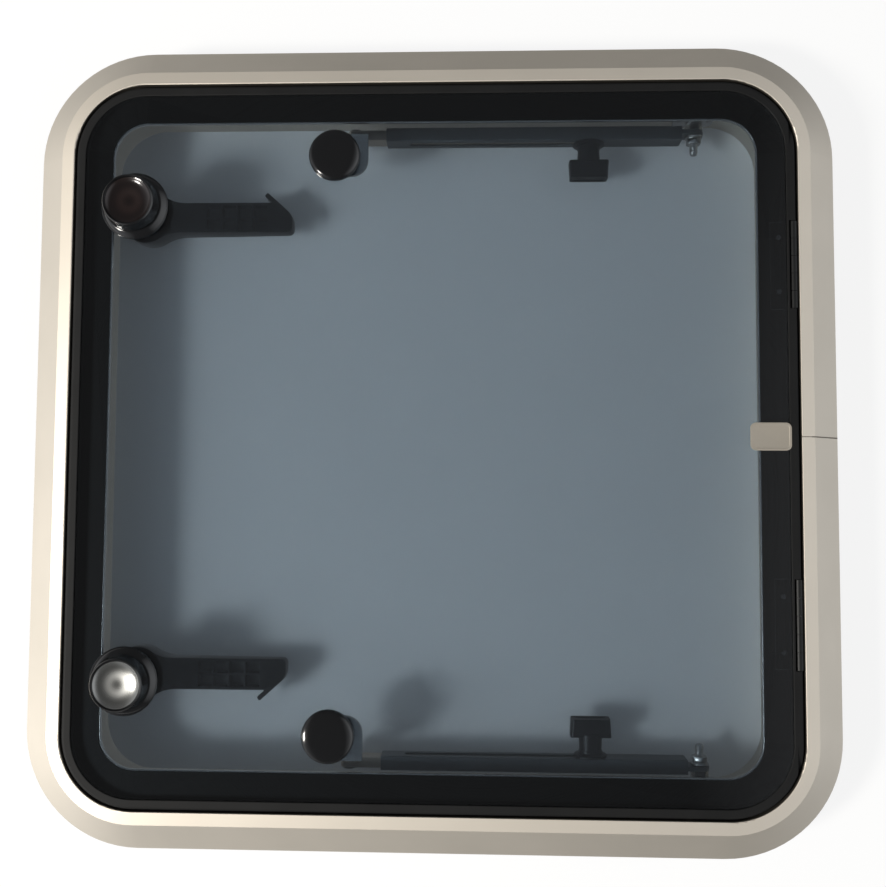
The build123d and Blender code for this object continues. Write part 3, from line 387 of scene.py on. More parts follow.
def makeDisc(name, toneHex, shadeHex, metallic, roughLow, roughHigh, nodeName):
    # Thin disc turned on a lathe and lacquered: its rings draw the light out into soft circles. Real rings
    # are finer; these come every 0.31 of ringSize, so that they show
    look = {"ringSize": 40.0}
    material, tree, place = startMaterial(name)
    middle = sum(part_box(nodeName), Vector()) / 2
    centred = addNode(tree, "ShaderNodeMapping", {"Location": (-middle.x, -middle.y, 0)}, {"Vector": place})
    rings = addNode(tree, "ShaderNodeTexWave",
                    {"wave_type": "RINGS", "rings_direction": "Z", "Scale": 1 / (look["ringSize"] * mm),
                     "Distortion": 0.4, "Detail": 3.0, "Detail Scale": 2.0}, {"Vector": centred.outputs[0]})
    tone = addNode(tree, "ShaderNodeMix",
                   {"data_type": "RGBA", 6: linearColour(shadeHex), 7: linearColour(toneHex)},
                   {0: rings.outputs["Fac"]})
    roughness = addNode(tree, "ShaderNodeMapRange", {"To Min": roughLow, "To Max": roughHigh},
                        {"Value": rings.outputs["Fac"]})
    bump = addNode(tree, "ShaderNodeBump", {"Strength": 0.06, "Distance": 0.1 * mm},
                   {"Height": rings.outputs["Fac"]})
    surface = addNode(tree, "ShaderNodeBsdfPrincipled", {"Metallic": metallic}, {
        "Base Color": tone.outputs[2], "Roughness": roughness.outputs[0], "Normal": bump.outputs[0]})
    return finishMaterial(material, surface)


def makeBlackScrew():
    # Zinc screw passivated black: dull, with a faint brown bloom
    look = {"tone": "#1A1817", "bloom": "#2A2623", "bloomSize": 2.0}
    material, tree, place = startMaterial("black passivated steel")
    bloom = addNode(tree, "ShaderNodeTexNoise", {"Scale": 1 / (look["bloomSize"] * mm), "Detail": 3.0},
                    {"Vector": place})
    tone = addNode(tree, "ShaderNodeMix",
                   {"data_type": "RGBA", 6: linearColour(look["tone"]), 7: linearColour(look["bloom"])},
                   {0: bloom.outputs["Fac"]})
    surface = addNode(tree, "ShaderNodeBsdfPrincipled", {"Metallic": 0.5, "Roughness": 0.45},
                      {"Base Color": tone.outputs[2]})
    return finishMaterial(material, surface)


def makeWeldLine():
    # Butt weld ground flush under the anodising: drawn as a thin brownish line, darker than the rim
    look = {"tone": "#4E4840", "pale": "#6B6459", "blotSize": 3.0}
    material, tree, place = startMaterial("ground weld line")
    blots = addNode(tree, "ShaderNodeTexNoise", {"Scale": 1 / (look["blotSize"] * mm), "Detail": 2.0},
                    {"Vector": place})
    tone = addNode(tree, "ShaderNodeMix",
                   {"data_type": "RGBA", 6: linearColour(look["tone"]), 7: linearColour(look["pale"])},
                   {0: blots.outputs["Fac"]})
    surface = addNode(tree, "ShaderNodeBsdfPrincipled", {"Metallic": 0.5, "Roughness": 0.55},
                      {"Base Color": tone.outputs[2]})
    return finishMaterial(material, surface)


finishes = {"anodisedRim": makeAnodisedRim(), "rubber": makeRubber(), "lens": makeTintedAcrylic(),
            "blackAnodised": makeBlackAnodised(), "glossBlack": makeGlossBlack(),
            "satinBlack": makeSatinBlack(), "stainless": makeStainless(),
            "channelGrey": makeBrushedStay("grey anodised channel", "#73777A", "#585C5C", 0.36, 0.48),
            "barBronze": makeBrushedStay("bronze-grey anodised bar", "#CBBEAF", "#A59A8D", 0.32, 0.44),
            "plate": makePlateFoil(),
            # The front and rear discs are one part: the pale metal front and the dark rear are painted
            # light and painted shade of how the window falls on each
            "frontDiscPaintedLit": makeDisc("turned aluminium disc in painted light", "#8C8C8A", "#666664", 0.85, 0.22, 0.32,
                                   "handle_knob_front"),
            "rearDiscPaintedShade": makeDisc("dark lacquer disc in painted shade", "#1D1412", "#140E0D", 0.2, 0.14, 0.26,
                                   "handle_knob_rear"), "blackScrew": makeBlackScrew(),
            "weldLine": makeWeldLine(),}
print("materials made:", len(finishes))

# Finish of every node: the part before _front or _rear, or the whole name
nodeFinishes = {
    "base_frame": "anodisedRim", "weather_seal": "rubber", "lens": "lens", "lid_frame": "blackAnodised",
    "lens_gasket": "rubber", "name_plate": "plate", "hinge_base_screws": "stainless",
    "hinge_leaf_screws": "stainless", "keeper_screws": "stainless", "stay_anchor_screws": "stainless",
    "hinge_base": "blackAnodised", "hinge_leaf": "blackAnodised", "hinge_pin": "stainless",
    "handle_bezel": "glossBlack", "handle_nut": "satinBlack", "handle_knob": "glossBlack",
    "handle_spindle": "stainless", "handle_lever": "satinBlack", "handle_screw": "stainless",
    "keeper": "satinBlack", "stay_anchor": "stainless", "stay_bolt": "stainless", "stay_nut": "stainless",
    "stay_channel": "channelGrey", "stay_bar": "barBronze", "stay_rivet": "stainless",
    "stay_knob": "satinBlack", "stay_knob_stud": "stainless", "stay_cap": "glossBlack",
    "stay_cap_washer": "rubber", "stay_stud": "stainless", "stay_stud_nut": "stainless",
    "stay_bracket": "stainless",
}
for nodeName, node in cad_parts.items():
    kind = nodeName.removesuffix("_front").removesuffix("_rear")
    node.data.materials.clear()
    node.data.materials.append(finishes[nodeFinishes[kind]])
print("nodes dressed")


def tidied(bm):
    # Merges doubles and turns every face outwards
    bmesh.ops.remove_doubles(bm, verts=bm.verts, dist=0.002 * mm)
    bmesh.ops.recalc_face_normals(bm, faces=bm.faces)
    return bm


def softened(bm, width, segments=3, angle=30):
    # Rounds every edge that is sharper than the angle
    sharp = [edge for edge in bm.edges if len(edge.link_faces) == 2
             and edge.calc_face_angle() > radians(angle)]
    bmesh.ops.bevel(bm, geom=sharp, offset=width * mm, offset_type="OFFSET", affect="EDGES",
                    segments=segments, profile=0.5, material=-1, clamp_overlap=True)
    return bm


def seat(place, direction=(0, 0, 1), side=(1, 0, 0)):
    # Lays a shape that is drawn upright at the origin along a direction, at a place in mm
    up = Vector(direction).normalized()
    across = (Vector(side) - up * up.dot(Vector(side))).normalized()
    turn = Matrix((across, up.cross(across), up)).transposed().to_4x4()
    return Matrix.Translation(Vector(place) * mm) @ turn


def placed(bm, where):
    bmesh.ops.transform(bm, matrix=where, verts=bm.verts)
    return bm


def lifted(bm, height):
    bmesh.ops.translate(bm, vec=(0, 0, height * mm), verts=bm.verts)
    return bm


def newVerts(result):
    return [item for item in result["geom"] if isinstance(item, bmesh.types.BMVert)]


def edgesAt(verts):
    return list({edge for vert in verts for edge in vert.link_edges})


def topFace(bm):
    return max(bm.faces, key=lambda face: face.calc_center_median().z)


def thickened(bm, height):
    # Raises a flat shape into a solid
    raised = bmesh.ops.extrude_face_region(bm, geom=bm.faces[:])
    bmesh.ops.translate(bm, vec=(0, 0, height * mm), verts=newVerts(raised))
    return tidied(bm)


def turned(profile, edge=0.0, steps=96, ring=False):
    # Turns a (radius, height) outline in mm as on a lathe; a ring's outline runs back to its start
    bm = bmesh.new()
    verts = [bm.verts.new((radius * mm, 0, height * mm)) for radius, height in profile]
    pairs = list(zip(verts, verts[1:])) + ([(verts[-1], verts[0])] if ring else [])
    edges = [bm.edges.new(pair) for pair in pairs]
    bmesh.ops.spin(bm, geom=verts + edges, cent=(0, 0, 0), axis=(0, 0, 1), angle=2 * pi, steps=steps,
                   use_merge=True)
    tidied(bm)
    return softened(bm, edge) if edge else bm


def slab(corners, height, steps=6):
    # Raises a flat outline of (x, y, rounding) corners in mm; rounding is what a corner takes off each side
    bm = bmesh.new()
    verts = [bm.verts.new((x * mm, y * mm, 0)) for x, y, _ in corners]
    bm.faces.new(verts)
    for vert, (_, _, rounding) in zip(verts, corners):
        if rounding:
            bmesh.ops.bevel(bm, geom=[vert], offset=rounding * mm, offset_type="OFFSET", affect="VERTICES",
                            segments=steps, profile=0.5, material=-1)
    return thickened(bm, height)


def rectangle(length, width, rounding):
    return [(x * length / 2, y * width / 2, rounding) for x, y in ((-1, -1), (1, -1), (1, 1), (-1, 1))]


def arc(middle, radius, start, end, steps=12):
    # Points along part of a circle, between two angles in degrees, as corners without rounding
    angles = [radians(start + (end - start) * i / steps) for i in range(steps + 1)]
    return [(middle[0] + radius * cos(angle), middle[1] + radius * sin(angle), 0) for angle in angles]


def roundedSquare(half, corner):
    c = half - corner
    return [point for x, y, start in ((c, c, 0), (-c, c, 90), (-c, -c, 180), (c, -c, 270))
            for point in arc((x, y), corner, start, start + 90, 16)]


def gathered(shapes):
    # Puts several closed shapes into one mesh
    whole = bmesh.new()
    for shape in shapes:
        part = bpy.data.meshes.new("part")
        shape.to_mesh(part)
        shape.free()
        whole.from_mesh(part)
        bpy.data.meshes.remove(part)
    return whole


def addPiece(name, bm, finish, body, replaced=(), smoothAngle=32):
    # Cleans the mesh, gives it its finish and its body, and hides the CAD nodes that it stands for
    bmesh.ops.dissolve_degenerate(bm, dist=0.004 * mm, edges=bm.edges)
    tidied(bm)
    mesh = bpy.data.meshes.new(name)
    bm.to_mesh(mesh)
    bm.free()
    mesh.materials.append(finishes[finish])
    mesh.shade_smooth()
    mesh.set_sharp_from_angle(angle=radians(smoothAngle))
    piece = bpy.data.objects.new(name, mesh)
    scene.collection.objects.link(piece)
    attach(piece, body)
    if replaced:
        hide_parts(*replaced)


def addPair(name, bm, finish, body, node=None, rearFinish=None):
    # The front piece as made, and its mirror image across the middle for the rear
    rear = bm.copy()
    bmesh.ops.scale(rear, vec=(1, -1, 1), verts=rear.verts)
    for end, shape, look in (("front", bm, finish), ("rear", rear, rearFinish or finish)):
        owner = body if body in ("base", "lid") else f"{body}_{end}"
        addPiece(f"{name}_{end}", shape, look, owner, [f"{node}_{end}"] if node else [])


def reachOf(nodeName):
    # Lowest corner, highest corner and middle of a CAD node, in mm
    nodeLow, nodeHigh = (Vector(corner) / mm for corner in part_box(nodeName))
    return nodeLow, nodeHigh, (nodeLow + nodeHigh) / 2


lensLow, lensHigh, _ = reachOf("lens")
lensTop, lensBottom = lensHigh.z, lensLow.z

# Handle bezels: a gloss ring on the lens with a groove above its foot and a barrel through the lens
bezel = {"bore": 7.9, "barrel": 12.0, "foot": 1.5, "groove": 0.5, "grooveFrom": 0.2, "grooveTo": 0.6,
         "shoulder": 3.4, "crownIn": 0.8, "crownHigh": 0.4, "edge": 0.25}
bezelLow, bezelHigh, bezelMiddle = reachOf("handle_bezel_front")
bezelRadius = (bezelHigh.x - bezelLow.x) / 2
bezelTop, barrelEnd = bezelHigh.z - lensTop, bezelLow.z - lensTop
grooveRadius = bezelRadius - bezel["groove"]
crownRadius = bezelRadius - bezel["shoulder"]
bm = turned([
    (bezel["bore"], barrelEnd), (bezel["barrel"], barrelEnd), (bezel["barrel"], 0), (bezelRadius, 0),
    (bezelRadius, bezel["foot"]), (grooveRadius, bezel["foot"] + bezel["grooveFrom"]),
    (grooveRadius, bezel["foot"] + bezel["grooveTo"]), (crownRadius, bezelTop - bezel["crownHigh"]),
    (crownRadius - bezel["crownIn"], bezelTop), (bezel["bore"], bezelTop)], bezel["edge"], ring=True)
addPair("handle_ring", placed(bm, seat((bezelMiddle.x, bezelMiddle.y, lensTop))), "glossBlack", "lid",
        "handle_bezel")

# Handle knobs: a low waisted drum with a rounded lip, and a round well in its top for the disc.
# The foot is given as (inward, height) pairs and the lip as (inward, drop) pairs
knob = {"foot": ((0.8, 0), (0, 0.8), (0, 2.2), (0.5, 3.0)),
        "lip": ((0.9, 2.6), (1.0, 1.4), (1.5, 0.5), (2.1, 0), (2.7, 0.2)),
        "dishRadius": 17.0, "dishDepth": 3.4, "dishDrop": 1.0, "dishSteps": 10,
        "wellStep": 0.2, "wellRim": 0.1, "wellFloor": 0.9}
knobLow, knobHigh, knobMiddle = reachOf("handle_knob_front")
knobRadius = (knobHigh.x - knobLow.x) / 2
knobTall = knobHigh.z - knobLow.z
knobSeat = seat((knobMiddle.x, knobMiddle.y, knobLow.z))
dishTop = knobTall - knob["dishDrop"]
dishLow = dishTop - knob["dishDepth"]
quarter = [pi / 2 * i / knob["dishSteps"] for i in range(knob["dishSteps"])]
bowl = [(knob["dishRadius"] * cos(angle), dishTop - knob["dishDepth"] * sin(angle)) for angle in quarter]
bm = turned([(0, 0)] + [(knobRadius - inward, height) for inward, height in knob["foot"]]
            + [(knobRadius - inward, knobTall - drop) for inward, drop in knob["lip"]]
            + [(knob["dishRadius"] + knob["wellStep"], dishTop + knob["wellRim"]), bowl[0],
               (knob["dishRadius"] - knob["wellStep"], dishLow - knob["wellFloor"]),
               (0, dishLow - knob["wellFloor"])])
addPair("knob_drum", placed(bm, knobSeat), "glossBlack", "handle", "handle_knob")

# Dished discs in the knobs, a little smaller than the well all round
disc = {"gap": 0.25, "below": 0.8, "rimDrop": 0.3, "bowlShare": 0.97}
discRadius = knob["dishRadius"] - disc["gap"]
bm = turned([(0, dishLow - disc["below"]), (discRadius, dishLow - disc["below"]),
             (discRadius, dishTop - disc["rimDrop"])]
            + [(radius * disc["bowlShare"], height) for radius, height in bowl[1:]] + [(0, dishLow)])
# The front disc takes the painted-lit finish and the rear one the painted-shade finish
addPair("knob_dish", placed(bm, knobSeat), "frontDiscPaintedLit", "handle", rearFinish="rearDiscPaintedShade")

# Caps on the lens: a flat-topped disc with a rounded shoulder and a drip groove at its foot.
# The foot is given as (inward, height) pairs and the shoulder as (inward, drop) pairs
cap = {"foot": ((0.3, 0), (0, 0.3), (0, 0.8), (0.35, 1.0), (0.35, 1.4), (0, 1.6), (0, 2.9)),
       "shoulder": ((0.35, 2.3), (0.95, 1.35), (1.8, 0.75), (2.9, 0.45)),
       "crown": 0.7, "crownCurve": 1.1, "crownRings": (0.72, 0.54, 0.36, 0.18, 0.0)}
capLow, capHigh, capMiddle = reachOf("stay_cap_front")
capRadius = (capHigh.x - capLow.x) / 2
capTall = capHigh.z - capLow.z
bm = turned([(0, 0)] + [(capRadius - inward, height) for inward, height in cap["foot"]]
            + [(capRadius - inward, capTall - cap["crown"] - drop) for inward, drop in cap["shoulder"]]
            + [(capRadius * part, capTall - cap["crown"] * part * part * cap["crownCurve"])
               for part in cap["crownRings"]])
addPair("cap_disc", placed(bm, seat((capMiddle.x, capMiddle.y, capLow.z))), "glossBlack", "lid",
        "stay_cap")
print("bezels, knobs and caps made")

# Bare plate: pressed foil with a raised border
plate = {"rounding": 4.0, "border": 1.5, "press": 0.22, "pressWidth": 0.25, "edge": 0.15, "trimX": 1.1,
         "trimY": 0.3}
plateLow, plateHigh, plateMiddle = reachOf("name_plate")
bm = slab(rectangle(plateHigh.x - plateLow.x - plate["trimX"], plateHigh.y - plateLow.y - plate["trimY"],
                    plate["rounding"]), plateHigh.z - plateLow.z)
field = [topFace(bm)]
bmesh.ops.inset_region(bm, faces=field, thickness=plate["border"] * mm, depth=0)
bmesh.ops.inset_region(bm, faces=field, thickness=plate["pressWidth"] * mm, depth=-plate["press"] * mm)
softened(bm, plate["edge"], 2)
addPiece("bare_plate", placed(bm, seat((plateMiddle.x, plateMiddle.y, plateLow.z))), "plate", "lid",
         ["name_plate"])

# Levers: a cam head with its flat towards the frame, a paddle with two rows of ribbed pockets, and a fin
lever = {"head": 20.5, "headSteps": 20, "flat": 11.5, "blend": 30.0, "inner": 12.5, "outer": 10.5,
         "finReach": 18.4, "finStart": 1.0, "finAngle": 42.0, "finThickness": 3.5, "finRoot": 1.2,
         "finRound": 0.8, "tipRound": 4.0, "tipRise": 5.0, "pocketStart": 46.0, "pocketEnd": 94.0,
         "pockets": 4, "wall": 1.6, "rib": 1.0, "depth": 6.0, "draft": 0.9, "edge": 0.7, "thickness": 16.0}
leverLow, leverHigh, _ = reachOf("handle_lever_front")
handleX, handleY = bezelMiddle.x, bezelMiddle.y
leverTop = leverLow.z + lever["thickness"]
leverTip = leverHigh.x - handleX


def blendAt(edge):
    # Middle of the round that joins the head's circle to a straight side at y = edge
    height = edge + (lever["blend"] if edge > 0 else -lever["blend"])
    return ((lever["head"] + lever["blend"]) ** 2 - height ** 2) ** 0.5, height


def facesUp(bm):
    return [face for face in bm.faces if face.normal.z > 0.9]


finAngle = radians(lever["finAngle"])
finTip = (leverTip - (lever["finReach"] - lever["finStart"]) / tan(finAngle), -lever["finReach"])
finInside = (finTip[0] - lever["finThickness"] * sin(finAngle),
             finTip[1] + lever["finThickness"] * cos(finAngle))
finRoot = finInside[0] + (-lever["outer"] - finInside[1]) / tan(finAngle)
outerBlend, innerBlend = blendAt(-lever["outer"]), blendAt(lever["inner"])
outerAngle = atan2(outerBlend[1], outerBlend[0]) * 180 / pi
innerAngle = atan2(innerBlend[1], innerBlend[0]) * 180 / pi
flatAngle = atan2((lever["head"] ** 2 - lever["flat"] ** 2) ** 0.5, -lever["flat"]) * 180 / pi
outline = (arc((0, 0), lever["head"], -flatAngle, outerAngle, lever["headSteps"])
           + arc(outerBlend, lever["blend"], outerAngle + 180, 90)
           + [(finRoot, -lever["outer"], lever["finRoot"]), (*finInside, lever["finRound"]),
              (*finTip, lever["finRound"]), (leverTip, -lever["finStart"], lever["tipRound"]),
              (leverTip, lever["inner"], lever["tipRound"])]
           + arc(innerBlend, lever["blend"], -90, innerAngle - 180)
           + arc((0, 0), lever["head"], innerAngle, flatAngle, lever["headSteps"]))
bm = lifted(slab(outline, lever["thickness"]), -lever["thickness"])
for vert in bm.verts:  # the underside rises towards the tip
    along = (vert.co.x / mm - lever["head"]) / (leverTip - lever["head"])
    if vert.co.z < -lever["thickness"] * mm / 2 and along > 0:
        vert.co.z += along * lever["tipRise"] * mm

# The paddle's upper face is cut into cells, and each cell is sunk inside its ribs
pocketsLong = lever["pocketEnd"] - lever["pocketStart"]
cuts = [(lever["pocketStart"] + pocketsLong * i / lever["pockets"]) * mm
        for i in range(lever["pockets"] + 1)]
sides = [(-lever["outer"] + lever["wall"]) * mm, (lever["inner"] - lever["outer"]) / 2 * mm,
         (lever["inner"] - lever["wall"]) * mm]
for spot, normal in [((x, 0, 0), (1, 0, 0)) for x in cuts] + [((0, y, 0), (0, 1, 0)) for y in sides]:
    faces = facesUp(bm)
    if normal[1]:
        faces = [face for face in faces if cuts[0] < face.calc_center_median().x < cuts[-1]]
    edges = list({edge for face in faces for edge in face.edges})
    verts = list({vert for face in faces for vert in face.verts})
    bmesh.ops.bisect_plane(bm, geom=faces + edges + verts, plane_co=spot, plane_no=normal)
cells = [face for face in facesUp(bm) if cuts[0] < face.calc_center_median().x < cuts[-1]
         and sides[0] < face.calc_center_median().y < sides[-1]]
print("lever pockets:", len(cells))
bmesh.ops.inset_individual(bm, faces=cells, thickness=lever["rib"] * mm, depth=0)
for face in bmesh.ops.extrude_discrete_faces(bm, faces=cells)["faces"]:
    middle = face.calc_center_median()
    bmesh.ops.translate(bm, vec=(0, 0, -lever["depth"] * mm), verts=face.verts)
    bmesh.ops.scale(bm, vec=(lever["draft"], lever["draft"], 1), space=Matrix.Translation(-middle),
                    verts=face.verts)
softened(bm, lever["edge"], 2)

# Neck that rises from the lever's head into the bezel, its foot given as (outward, height) pairs
neck = {"radius": 11.0, "foot": ((2.0, -1.5), (2.0, 0.1), (0.6, 0.7), (0, 2.0)), "round": 0.6, "steps": 64}
neckTop = leverHigh.z - leverTop
neckShape = turned([(0, neck["foot"][0][1])]
                   + [(neck["radius"] + out, height) for out, height in neck["foot"]]
                   + [(neck["radius"], neckTop - neck["round"]), (neck["radius"] - neck["round"], neckTop),
                      (0, neckTop)], 0, neck["steps"])
addPair("lever_paddle", placed(gathered([bm, neckShape]), seat((handleX, handleY, leverTop))), "satinBlack",
        "handle", "handle_lever")
print("levers made")

# Clamp knobs: a collar, a waisted stem and a T head with rounded lobes and a dished end.
# The collar and the waist are given as (radius, height) pairs
clamp = {"outline": ((0, 0), (11.6, 0), (12.0, 0.4), (12.0, 1.5), (11.3, 2.0), (10.1, 2.1), (8.7, 3.2),
                     (8.7, 4.4), (8.18, 5.0), (8.3, 7.5)), "stem": 8.7, "stemGap": 0.4, "stemInHead": 2.0,
         "steps": 64, "head": (30.0, 13.0, 2.5), "headLength": 13.2, "taper": 0.95, "dishIn": 2.4,
         "dishWidth": 0.8, "dishDepth": 0.7, "edge": 1.1}
clampLow, clampHigh, clampMiddle = reachOf("stay_knob_front")
headStart = clampHigh.y - clampLow.y - clamp["headLength"]
stemEnd = headStart + clamp["stemInHead"]
stem = turned([*clamp["outline"], (clamp["stem"], headStart - clamp["stemGap"]), (clamp["stem"], stemEnd),
               (0, stemEnd)], 0, clamp["steps"])
head = slab(rectangle(*clamp["head"]), clamp["headLength"])
end = [topFace(head)]
bmesh.ops.scale(head, vec=(clamp["taper"], clamp["taper"], 1), verts=end[0].verts)
bmesh.ops.inset_region(head, faces=end, thickness=clamp["dishIn"] * mm, depth=0)
bmesh.ops.inset_region(head, faces=end, thickness=clamp["dishWidth"] * mm, depth=-clamp["dishDepth"] * mm)
softened(head, clamp["edge"], 3, 40)
bm = gathered([stem, lifted(head, headStart)])
addPair("clamp_grip", placed(bm, seat((clampMiddle.x, clampLow.y, clampMiddle.z), (0, 1, 0))), "satinBlack",
        "clamp", "stay_knob")


def hexRing(flats, bore, height, edge):
    # A hexagon with a round bore, as a nut's body
    bm = bmesh.new()
    outer = bmesh.ops.create_circle(bm, cap_ends=False, segments=6, radius=flats / 3 ** 0.5 * mm)["verts"]
    inner = bmesh.ops.create_circle(bm, cap_ends=False, segments=36, radius=bore * mm)["verts"]
    bmesh.ops.bridge_loops(bm, edges=edgesAt(outer + inner))
    return softened(thickened(bm, height), edge, 2, 40)


# Pivot bolts with a cut thread: a groove and a flat crest in every turn, and a short rounded point
bolt = {"radius": 3.0, "threadDepth": 0.45, "pitch": 1.0, "threadLength": 9.0, "runOut": 0.4,
        "groovePart": 0.5, "crestPart": 0.85, "point": 0.7, "pointRound": 0.3, "pointHigh": 0.1,
        "steps": 40}
boltLow, boltHigh, boltMiddle = reachOf("stay_bolt_front")
boltLong = boltHigh.y - boltLow.y
threadStart = boltLong - bolt["threadLength"]
thread = []
for i in range(int((bolt["threadLength"] - bolt["point"] - bolt["runOut"]) / bolt["pitch"])):
    thread += [(bolt["radius"] - bolt["threadDepth"],
                threadStart + (i + bolt["groovePart"]) * bolt["pitch"]),
               (bolt["radius"], threadStart + (i + bolt["crestPart"]) * bolt["pitch"]),
               (bolt["radius"], threadStart + (i + 1.0) * bolt["pitch"])]
pointRadius = bolt["radius"] - bolt["point"]
bm = turned([(0, 0), (bolt["radius"], 0), (bolt["radius"], threadStart)] + thread
            + [(pointRadius, boltLong - bolt["pointHigh"]), (pointRadius - bolt["pointRound"], boltLong),
               (0, boltLong)], 0, bolt["steps"])
addPair("pivot_bolt", placed(bm, seat((boltMiddle.x, boltLow.y, boltMiddle.z), (0, 1, 0))), "stainless",
        "base", "stay_bolt")

# Their nuts, each with its washer
pivotNut = {"flats": 10.0, "bore": 3.05, "edge": 0.35, "washer": 6.5, "washerHigh": 1.5, "washerEdge": 0.25}
nutLow, nutHigh, nutMiddle = reachOf("stay_nut_front")
washer = turned([(pivotNut["bore"], 0), (pivotNut["washer"], 0),
                 (pivotNut["washer"], pivotNut["washerHigh"]), (pivotNut["bore"], pivotNut["washerHigh"])],
                pivotNut["washerEdge"], 48, ring=True)
nutBody = hexRing(pivotNut["flats"], pivotNut["bore"], nutHigh.y - nutLow.y - pivotNut["washerHigh"],
                  pivotNut["edge"])
bm = gathered([washer, lifted(nutBody, pivotNut["washerHigh"])])
addPair("pivot_nut", placed(bm, seat((nutMiddle.x, nutLow.y, nutMiddle.z), (0, 1, 0))), "stainless", "base",
        "stay_nut")
print("clamp knobs and pivots made")


def socketHead(profile, socket=1.6, socketDepth=1.2):
    # Screw drawn head up from its (radius, height) outline, whose open end is closed by a hexagon socket
    bm = turned(profile, 0, 24)
    rim = [edge for edge in bm.edges if edge.is_boundary]
    hexagon = bmesh.ops.create_circle(bm, cap_ends=False, segments=6, radius=socket * mm)["verts"]
    bmesh.ops.translate(bm, vec=(0, 0, profile[-1][1] * mm), verts=hexagon)
    hexEdges = edgesAt(hexagon)
    bmesh.ops.bridge_loops(bm, edges=rim + hexEdges)
    walls = bmesh.ops.extrude_edge_only(bm, edges=hexEdges)
    bmesh.ops.translate(bm, vec=(0, 0, -socketDepth * mm), verts=newVerts(walls))
    bmesh.ops.holes_fill(bm, edges=[edge for edge in bm.edges if edge.is_boundary])
    return tidied(bm)


# Countersunk screws: radius of head and shank of each kind, and how far from the middle of a pair they sit
screw = {"pointIn": 0.4, "pointHigh": 0.6, "rimIn": 0.1, "rimHigh": 0.15, "leaf": (3.2, 1.75),
         "foot": (3.8, 2.0), "catch": (3.6, 2.0), "anchor": (3.6, 2.0), "hingeSpread": 20.0,
         "catchSpread": 7.0, "anchorSpread": 11.0, "anchorPlate": 3.0, "anchorLength": 7.0}


def screwSet(name, node, size, length, seats, finish, body):
    # Countersunk screws that share one CAD node; the size is the radius of the head and of the shank
    head, shank = size
    profile = [(0, -length), (shank - screw["pointIn"], -length), (shank, -length + screw["pointHigh"]),
               (shank, shank - head), (head, -screw["rimHigh"]), (head - screw["rimIn"], 0)]
    screws = [placed(socketHead(profile), where) for where in seats]
    addPiece(name, gathered(screws), finish, body, [node])


leafLow, leafHigh, leafMiddle = reachOf("hinge_leaf_screws")
leafY = abs(reachOf("hinge_leaf_front")[2].y)
hingeYs = [side * leafY + step for side in (-1, 1)
           for step in (-screw["hingeSpread"], screw["hingeSpread"])]
screwSet("leaf_screws", "hinge_leaf_screws", screw["leaf"], leafHigh.z - leafLow.z,
         [seat((leafMiddle.x, y, leafLow.z), (0, 0, -1)) for y in hingeYs], "blackScrew", "lid")
baseLow, baseHigh, baseMiddle = reachOf("hinge_base_screws")
screwSet("hinge_foot_screws", "hinge_base_screws", screw["foot"], baseHigh.z - baseLow.z,
         [seat((baseMiddle.x, y, baseHigh.z)) for y in hingeYs], "stainless", "base")
wallLow, wallHigh, wallMiddle = reachOf("keeper_screws")
screwSet("catch_screws", "keeper_screws", screw["catch"], wallHigh.x - wallLow.x,
         [seat((wallHigh.x, side * abs(handleY) + step, wallMiddle.z), (1, 0, 0), (0, 1, 0))
          for side in (-1, 1) for step in (-screw["catchSpread"], screw["catchSpread"])], "stainless",
         "base")
anchorLow, _, anchorMiddle = reachOf("stay_anchor_front")
anchorFace = anchorLow.y + screw["anchorPlate"]
screwSet("anchor_screws", "stay_anchor_screws", screw["anchor"], screw["anchorLength"],
         [seat((anchorMiddle.x + step, side * anchorFace, anchorMiddle.z), (0, side, 0)) for side in (1, -1)
          for step in (-screw["anchorSpread"], screw["anchorSpread"])], "stainless", "base")

# Button screws that hold the levers, their heads just proud of the lever's underside
leverScrew = {"head": ((3.0, -2.6), (5.4, -2.6), (5.4, -0.9), (5.1, -0.4), (4.5, -0.1), (3.8, 0)),
              "shank": 3.0, "proud": 1.0, "socket": 2.4}
screwLow, screwHigh, _ = reachOf("handle_screw_front")
leverScrewLong = screwHigh.z - screwLow.z + leverScrew["proud"]
bm = socketHead([(0, -leverScrewLong), (leverScrew["shank"], -leverScrewLong), *leverScrew["head"]],
                leverScrew["socket"])
addPair("lever_screw", placed(bm, seat((handleX, handleY, screwLow.z - leverScrew["proud"]), (0, 0, -1))),
        "stainless", "handle", "handle_screw")

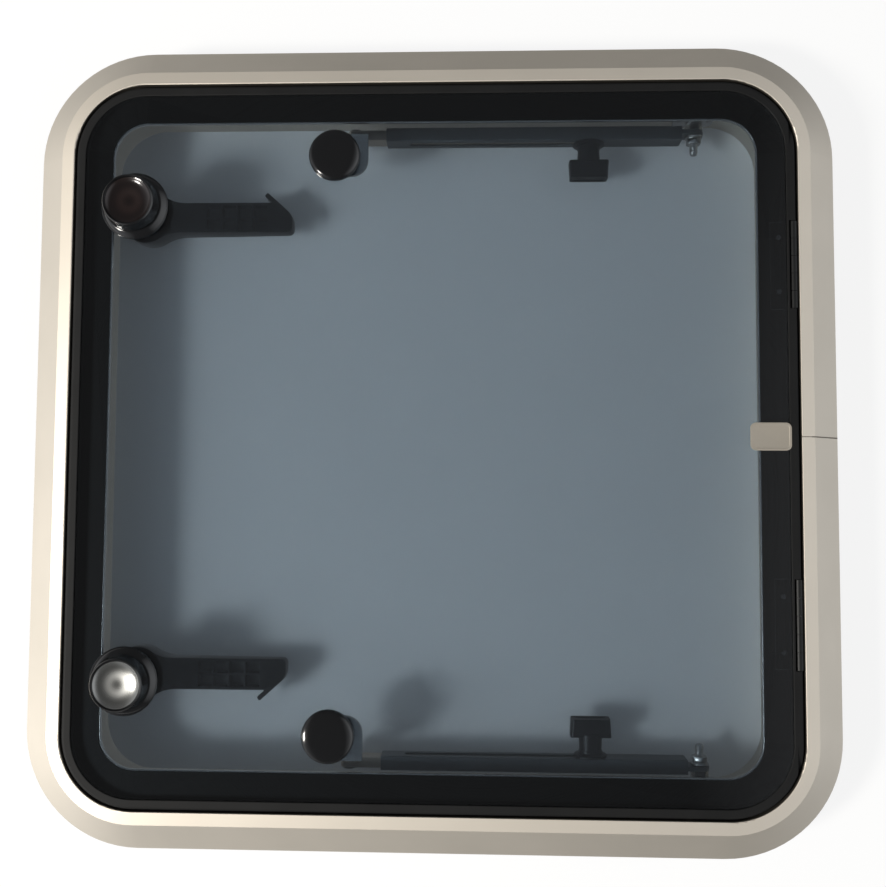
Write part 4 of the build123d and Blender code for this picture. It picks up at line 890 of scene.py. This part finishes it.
# Stay brackets below the lens: a plate with two large corners, and an ear with a round end
bracket = {"thickness": 3.0, "round": 12.5, "corner": 0.8, "earTop": 12.0, "earRound": 9.0, "edge": 0.5}
bracketLow, bracketHigh, _ = reachOf("stay_bracket_front")
pivotX = reachOf("stay_rivet_front")[2].x
pivotZ = boltMiddle.z
flange = slab([(bracketLow.x, bracketLow.y, bracket["corner"]),
               (bracketHigh.x, bracketLow.y, bracket["corner"]),
               (bracketHigh.x, bracketHigh.y, bracket["round"]),
               (bracketLow.x, bracketHigh.y, bracket["round"])], bracket["thickness"])
softened(lifted(flange, lensBottom - bracket["thickness"]), bracket["edge"], 2)
ear = slab([(bracket["earTop"], bracketHigh.z - pivotZ, 0), (-bracket["earTop"], bracketHigh.z - pivotZ, 0)]
           + arc((0, 0), bracket["earRound"], 180, 360, 24), bracket["thickness"])
softened(ear, bracket["edge"], 2, 40)
placed(ear, seat((pivotX, bracketLow.y + bracket["thickness"], pivotZ), (0, -1, 0)))
addPair("lid_bracket", gathered([flange, ear]), "stainless", "lid", "stay_bracket")

# Thin bright bead along the inner edge of the lid's under-frame, which glints where it faces the window
bead = {"round": 26.5, "frameWidth": 25.5, "width": 1.0, "high": 2.8, "edge": 0.45}
frameLow, frameHigh, _ = reachOf("lid_frame")
beadHalf = frameHigh.x - bead["frameWidth"]
bm = bmesh.new()
outer, inner = [[bm.verts.new((x * mm, y * mm, 0))
                 for x, y, _ in roundedSquare(beadHalf - shift, bead["round"] - shift)]
                for shift in (0, bead["width"])]
for i in range(len(outer)):
    bm.faces.new((outer[i - 1], outer[i], inner[i], inner[i - 1]))
softened(thickened(bm, bead["high"]), bead["edge"], 4, 40)
addPiece("window_bead", placed(bm, seat((0, 0, frameLow.z))), "stainless", "lid")

# Weld seam across the hinge side of the rim, dressed flush and drawn a little darker
seam = {"y": 4.4, "width": 0.9, "depth": 0.35, "proud": 0.05, "edgeHigh": 2.0, "slope": 22.0,
        "kneeHigh": 18.5, "bandStart": 32.0}
_, rimReach, _ = reachOf("base_frame")
line = [(rimReach.x, seam["edgeHigh"]), (rimReach.x - seam["slope"], seam["kneeHigh"]),
        (rimReach.x - seam["bandStart"], rimReach.z - seam["proud"])]
bm = slab([(x, z - seam["depth"], 0) for x, z in reversed(line)]
          + [(x, z + (seam["proud"] if x < rimReach.x else 0), 0) for x, z in line], seam["width"])
addPiece("weld_line", placed(bm, seat((0, seam["y"] + seam["width"] / 2, 0), (0, -1, 0))), "weldLine",
         "base")
print("screws, brackets and seam made")
